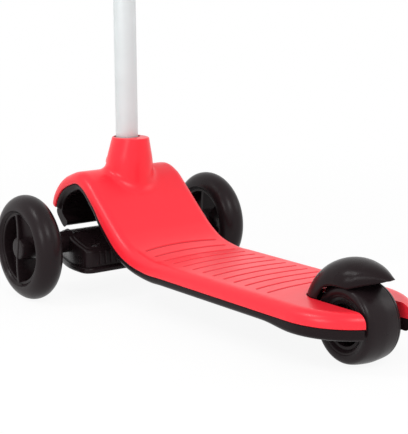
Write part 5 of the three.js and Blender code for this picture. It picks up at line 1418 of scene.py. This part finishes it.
def stem_piece(bar):
    made = object_of(
        sleeve(STEM_RADIUS - bar.stem_wall, STEM_RADIUS, STEM.low[2], STEM.high[2], 0.4, "z", 160).moved((0, STEM_Y, 0))
    )
    cut(
        made,
        drill(NOSE_BORE, STEM_Y, STEM_Y + 2 * STEM_RADIUS, "y", at=(0, 0, BUTTON_HEIGHT)),
        drill(TEE_SCREW_BORE, STEM_Y - 2 * STEM_RADIUS, STEM_Y, "y", 32, (0, 0, BAR_HEIGHT - TEE_SCREW_DROP)),
    )
    finished(made, "stem_tube", "drawn", "handlebar", "bare_tube")


def tee_piece(bar):
    outer, bar_outer = STEM_RADIUS + FIT_GAP + bar.tee_wall, BAR_RADIUS + bar.tee_wall
    foot, shoulder = BAR_HEIGHT - bar.tee_drop, BAR_HEIGHT - BAR_RADIUS
    profile = [(0, foot), (outer, foot), (outer, shoulder), (bar_outer, BAR_HEIGHT), (0, BAR_HEIGHT)]
    made = object_of(lathe(profile, [0, 1.4, 3, 0, 0], axis="z").moved((0, STEM_Y, 0)))
    joined(made, rod(bar_outer, -bar.tee_half, bar.tee_half, 1.6, "x", 96).moved(BAR_MIDDLE))
    screw = (0, 0, BAR_HEIGHT - TEE_SCREW_DROP)
    cut(
        made,
        drill(STEM_RADIUS + FIT_GAP, 0, STEM.high[2] + FIT_GAP, "z", 96, (0, STEM_Y, 0)),
        drill(BAR_RADIUS + FIT_GAP, -BAR_HALF, BAR_HALF, "x", 96, BAR_MIDDLE),
        drill(TEE_SCREW_BORE, STEM_Y - THROUGH, STEM_Y, "y", 32, screw),
        drill(TEE_SCREW_HEAD, STEM_Y - THROUGH, STEM_Y - outer + FIT_GAP, "y", 32, screw),
    )
    finished(made, "tee_joint", "moulding", "handlebar", "black_plastic")


def crossbar_piece(bar):
    tube = sleeve(BAR_RADIUS - bar.stem_wall, BAR_RADIUS, -BAR_HALF, BAR_HALF, 0.4, "x", 128)
    finished(object_of(tube.moved(BAR_MIDDLE)), "crossbar", "drawn", "handlebar", "bare_tube", "crossbar_tube")


def grip_pieces(bar):
    bore = BAR_RADIUS + FIT_GAP
    outer = bore + bar.grip_wall
    bore_end = BAR_HALF + FIT_GAP
    start, end = bar.grip_start, bore_end + 6
    profile = [
        (0, bore_end), (bore, bore_end), (bore, start), (outer + 4, start), (outer + 4, start + 4),
        (outer - 0.6, start + 6.5), (outer - 0.8, end - 9), (outer + 1, end - 7), (outer + 1, end - 1.5),
        (outer - 1, end), (0, end),
    ]
    corners = [0, 0.2, 0.4, 1.6, 1.6, 2, 2, 1, 1.2, 1.5, 0]
    half_ring = [(outer - 1.6, -1.6), (outer - 0.7, -1.6), (outer, -0.7)]
    pitch = (end - 12 - start - 10) / (bar.grip_rings - 1)
    for side in SIDES:
        made = object_of(lathe(profile, corners).moved(BAR_MIDDLE))
        ring = turned(rounded(half_ring + mirrored(half_ring), 0.5, 3)).moved((start + 10, STEM_Y, BAR_HEIGHT))
        joined(made, row_of(ring, bar.grip_rings, (pitch, 0, 0), "grip_rubber"))
        if side < 0:
            across_y = 2 * (FLOOR_UNDER_AXLE[1] + STEM_Y * MM)
            made.data.transform(Matrix.Translation((0, across_y, 0)) @ Matrix.Rotation(math.pi, 4, "Z"))
        finished(made, f"{SIDES[side]}_grip", "sleeve", "handlebar", "grip_rubber")


# The small parts


def bush_piece():
    bore = STEM_RADIUS + FIT_GAP
    bush = sleeve(bore, bore + 2, packed("stem_bush").low[2], NECK_TOP - 0.8, 0.4, "z", 96)
    finished(object_of(bush.moved((0, STEM_Y, 0))), "stem_bush", "moulding", "deck", "black_plastic")


def button_piece():
    back, front, radius = BUTTON.low[1], BUTTON.high[1], BUTTON_RADIUS
    face = [
        (0, back), (radius, back), (radius, front - 1.6), (radius - 1.4, front), (2.5, front - 0.5), (0, front - 0.6),
    ]
    made = object_of(lathe(face, [0, 0.3, 1, 1, 1.5, 0], 64, "y").moved((0, 0, BUTTON_HEIGHT)))
    spring_end = packed("release_spring").high[1]
    cut(made, drill(BUTTON_SPRING_BORE, back - 4, spring_end + FIT_GAP, "y", at=(0, 0, BUTTON_HEIGHT)))
    finished(made, "release_button", "moulding", "release_button", "black_plastic")


def small_part_pieces():
    """The bush, the button and both springs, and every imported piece's own finish."""
    bush_piece()
    button_piece()
    spring_piece("brake_spring", 0, 0.55, 6.0)
    spring_piece("release_spring", 1, 0.4, 3.5)
    slots = {part["node"]: part["material_slot"] for part in frame["record"]["subparts"]}
    for name, part in frame["nodes"].items():
        part.data.materials.clear()
        part.data.materials.append(material(slots[name]))


# Floor, light and camera

WHITE = (1, 1, 1, 1)
# In metres: half the floor's side, and how far out its shadow starts to fade and is gone
FLOOR_HALF, SHADOW_FADE = 30, (0.45, 1.3)
# The camera's sensor, in millimetres
SENSOR = 36
# Each lamp's place and size, in metres
LAMPS = {
    "key": ((-0.5, -1.65, 1.6), 0.75),
    "left": ((-1.75, -0.35, 0.7), 0.5),
    "front": ((-1.25, 0.4, 1.6), 0.38),
    "right": ((1.6, -0.9, 1.1), 0.8),
}


def seen_directly(graph):
    """1 where the camera sees a surface straight, in a reflection or through a clear piece."""
    ray = graph.add("ShaderNodeLightPath").outputs
    direct = graph.math("ADD", ray["Is Camera Ray"], ray["Is Glossy Ray"])
    return graph.math("MINIMUM", graph.math("ADD", direct, ray["Is Transmission Ray"]), 1.0)


def floor_material(floor_show):
    """White to the camera, with the shadow that the object throws on it near the object."""
    made = bpy.data.materials.new("floor")
    made.use_nodes = True
    made.node_tree.nodes.clear()
    graph = Graph(made.node_tree)
    soft = graph.add("ShaderNodeBsdfDiffuse", {"Color": WHITE}).outputs[0]
    white = graph.add("ShaderNodeEmission", {"Color": WHITE, "Strength": 1.0}).outputs[0]
    place = graph.add("ShaderNodeTexCoord").outputs["Object"]
    away = graph.add("ShaderNodeVectorMath", {0: place}, operation="LENGTH").outputs["Value"]
    show = graph.ramp(away, *SHADOW_FADE, floor_show, 1.0, interpolation_type="SMOOTHSTEP")
    seen = graph.math("MULTIPLY", seen_directly(graph), show)
    both = graph.add("ShaderNodeMixShader", {0: seen, 1: soft, 2: white}).outputs[0]
    graph.add("ShaderNodeOutputMaterial", {"Surface": both})
    return made


def world_light(sky):
    world = bpy.data.worlds.new("surround")
    world.use_nodes = True
    world.node_tree.nodes.clear()
    graph = Graph(world.node_tree)
    strength = graph.ramp(seen_directly(graph), 0.0, 1.0, sky, 1.0)
    shade = graph.add("ShaderNodeBackground", {"Color": WHITE, "Strength": strength}).outputs[0]
    graph.add("ShaderNodeOutputWorld", {"Surface": shade})
    return world


def area_lamp(name, place, size, power):
    """A square lamp aimed at the scooter's middle."""
    lamp = bpy.data.lights.new(name, "AREA")
    lamp.shape, lamp.size, lamp.energy = "SQUARE", size, power
    made = new_object(name, lamp)
    made.location = place
    made.rotation_euler = (Vector((0, 0, 0.1)) - Vector(place)).to_track_quat("-Z", "Y").to_euler()


def set_stage(stage):
    scene = bpy.context.scene
    mesh = bpy.data.meshes.new("floor")
    corners = [(x * FLOOR_HALF, y * FLOOR_HALF, 0) for x, y in ((-1, -1), (1, -1), (1, 1), (-1, 1))]
    mesh.from_pydata(corners, [], [(0, 1, 2, 3)])
    mesh.materials.append(floor_material(stage.floor_show))
    new_object("floor", mesh)
    scene.world = world_light(stage.sky)
    powers_of = {"key": stage.key_power, "left": stage.left_power}
    powers_of |= {"front": stage.rim_power, "right": stage.rim_power / 2}
    for name, (place, size) in LAMPS.items():
        area_lamp(name, place, size, powers_of[name])
    camera = bpy.data.cameras.new("photograph")
    camera.lens = stage.lens
    camera.sensor_width = camera.sensor_height = SENSOR
    camera.sensor_fit = "AUTO"
    eye = new_object("photograph", camera)
    eye.location = stage.eye
    turns = [(-stage.yaw, "Z"), (math.pi / 2 + stage.pitch, "X"), (stage.roll, "Z")]
    yaw, pitch, roll = [Matrix.Rotation(angle, 4, axis) for angle, axis in turns]
    eye.rotation_euler = (yaw @ pitch @ roll).to_euler()
    scene.camera = eye
    scene.view_settings.view_transform = "Standard"


# Operators, each for a piece or a group of like pieces


class ScooterOperator:
    """Runs an operator's steps, each a function and the names of the groups of sizes that it takes."""

    bl_options = {"REGISTER", "UNDO"}

    def execute(self, context):
        for step, *groups in self.steps:
            step(*(plain(getattr(context.scene, f"scooter_{group}")) for group in groups))
        return {"FINISHED"}


class SCOOTER_OT_deck_shell(ScooterOperator, bpy.types.Operator):
    """Make the red deck with its arch, neck and tread"""

    bl_idname = "scooter.deck_shell"
    bl_label = "Deck shell"
    steps = [(deck_shell_piece, "deck")]


class SCOOTER_OT_under_frame(ScooterOperator, bpy.types.Operator):
    """Make the black frame under the deck"""

    bl_idname = "scooter.under_frame"
    bl_label = "Under frame"
    steps = [(under_frame_piece, "deck", "truck")]


class SCOOTER_OT_truck(ScooterOperator, bpy.types.Operator):
    """Make the front truck's hanger and tray"""

    bl_idname = "scooter.truck"
    bl_label = "Front truck"
    steps = [(truck_hanger_piece, "truck"), (undertray_piece, "truck")]


class SCOOTER_OT_front_wheels(ScooterOperator, bpy.types.Operator):
    """Make both front tyres, hubs and hub caps"""

    bl_idname = "scooter.front_wheels"
    bl_label = "Front wheels"
    steps = [(front_wheel_pieces, "wheels")]


class SCOOTER_OT_rear_wheel(ScooterOperator, bpy.types.Operator):
    """Make the rear tyre and hub"""

    bl_idname = "scooter.rear_wheel"
    bl_label = "Rear wheel"
    steps = [(rear_tyre_piece, "wheels"), (rear_hub_piece, "wheels")]


class SCOOTER_OT_brake(ScooterOperator, bpy.types.Operator):
    """Make the brake's fender and shoe"""

    bl_idname = "scooter.brake"
    bl_label = "Brake"
    steps = [(fender_piece, "deck", "fender"), (shoe_piece,)]


class SCOOTER_OT_handlebar(ScooterOperator, bpy.types.Operator):
    """Make the stem, joint, crossbar and grips"""

    bl_idname = "scooter.handlebar"
    bl_label = "Handlebar"
    steps = [(piece, "handlebar") for piece in (stem_piece, tee_piece, crossbar_piece, grip_pieces)]


class SCOOTER_OT_small_parts(ScooterOperator, bpy.types.Operator):
    """Make the bush, button and springs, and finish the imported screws, nuts and bearings"""

    bl_idname = "scooter.small_parts"
    bl_label = "Small parts"
    steps = [(small_part_pieces,)]


class SCOOTER_OT_stage(ScooterOperator, bpy.types.Operator):
    """Set the floor, the lamps and the photograph's camera"""

    bl_idname = "scooter.stage"
    bl_label = "Floor, light and camera"
    steps = [(set_stage, "stage")]


class SCOOTER_PT_tools(bpy.types.Panel):
    """Makes the scooter's pieces from the sizes above each button"""

    bl_label = "Kids scooter"
    bl_space_type = "VIEW_3D"
    bl_region_type = "UI"
    bl_category = "Scooter"

    def draw(self, context):
        for operators, group in PANEL_ROWS:
            box = self.layout.box()
            sizes = getattr(context.scene, f"scooter_{group}")
            for key in sizes.__annotations__:
                box.prop(sizes, key)
            for operator in operators:
                box.operator(operator.bl_idname)


SIZE_GROUPS = {
    "deck": DeckSizes,
    "truck": TruckSizes,
    "wheels": WheelSizes,
    "fender": FenderSizes,
    "handlebar": HandlebarSizes,
    "finishes": Finishes,
    "stage": StageSizes,
}
PANEL_ROWS = [
    ([SCOOTER_OT_deck_shell, SCOOTER_OT_under_frame], "deck"),
    ([SCOOTER_OT_truck], "truck"),
    ([SCOOTER_OT_front_wheels, SCOOTER_OT_rear_wheel], "wheels"),
    ([SCOOTER_OT_brake], "fender"),
    ([SCOOTER_OT_handlebar], "handlebar"),
    ([SCOOTER_OT_small_parts], "finishes"),
    ([SCOOTER_OT_stage], "stage"),
]
CLASSES = [*SIZE_GROUPS.values(), *(operator for row, _ in PANEL_ROWS for operator in row), SCOOTER_PT_tools]


def register():
    for cls in CLASSES:
        bpy.utils.register_class(cls)
    for key, cls in SIZE_GROUPS.items():
        setattr(bpy.types.Scene, f"scooter_{key}", bpy.props.PointerProperty(type=cls))


def unregister():
    for key in SIZE_GROUPS:
        delattr(bpy.types.Scene, f"scooter_{key}")
    for cls in reversed(CLASSES):
        bpy.utils.unregister_class(cls)


def main():
    register()
    bpy.ops.scooter.deck_shell()
    bpy.ops.scooter.under_frame()
    bpy.ops.scooter.truck()
    bpy.ops.scooter.front_wheels()
    bpy.ops.scooter.rear_wheel()
    bpy.ops.scooter.brake()
    bpy.ops.scooter.handlebar()
    bpy.ops.scooter.small_parts()
    bpy.ops.scooter.stage()


if __name__ == "__main__":
    main()
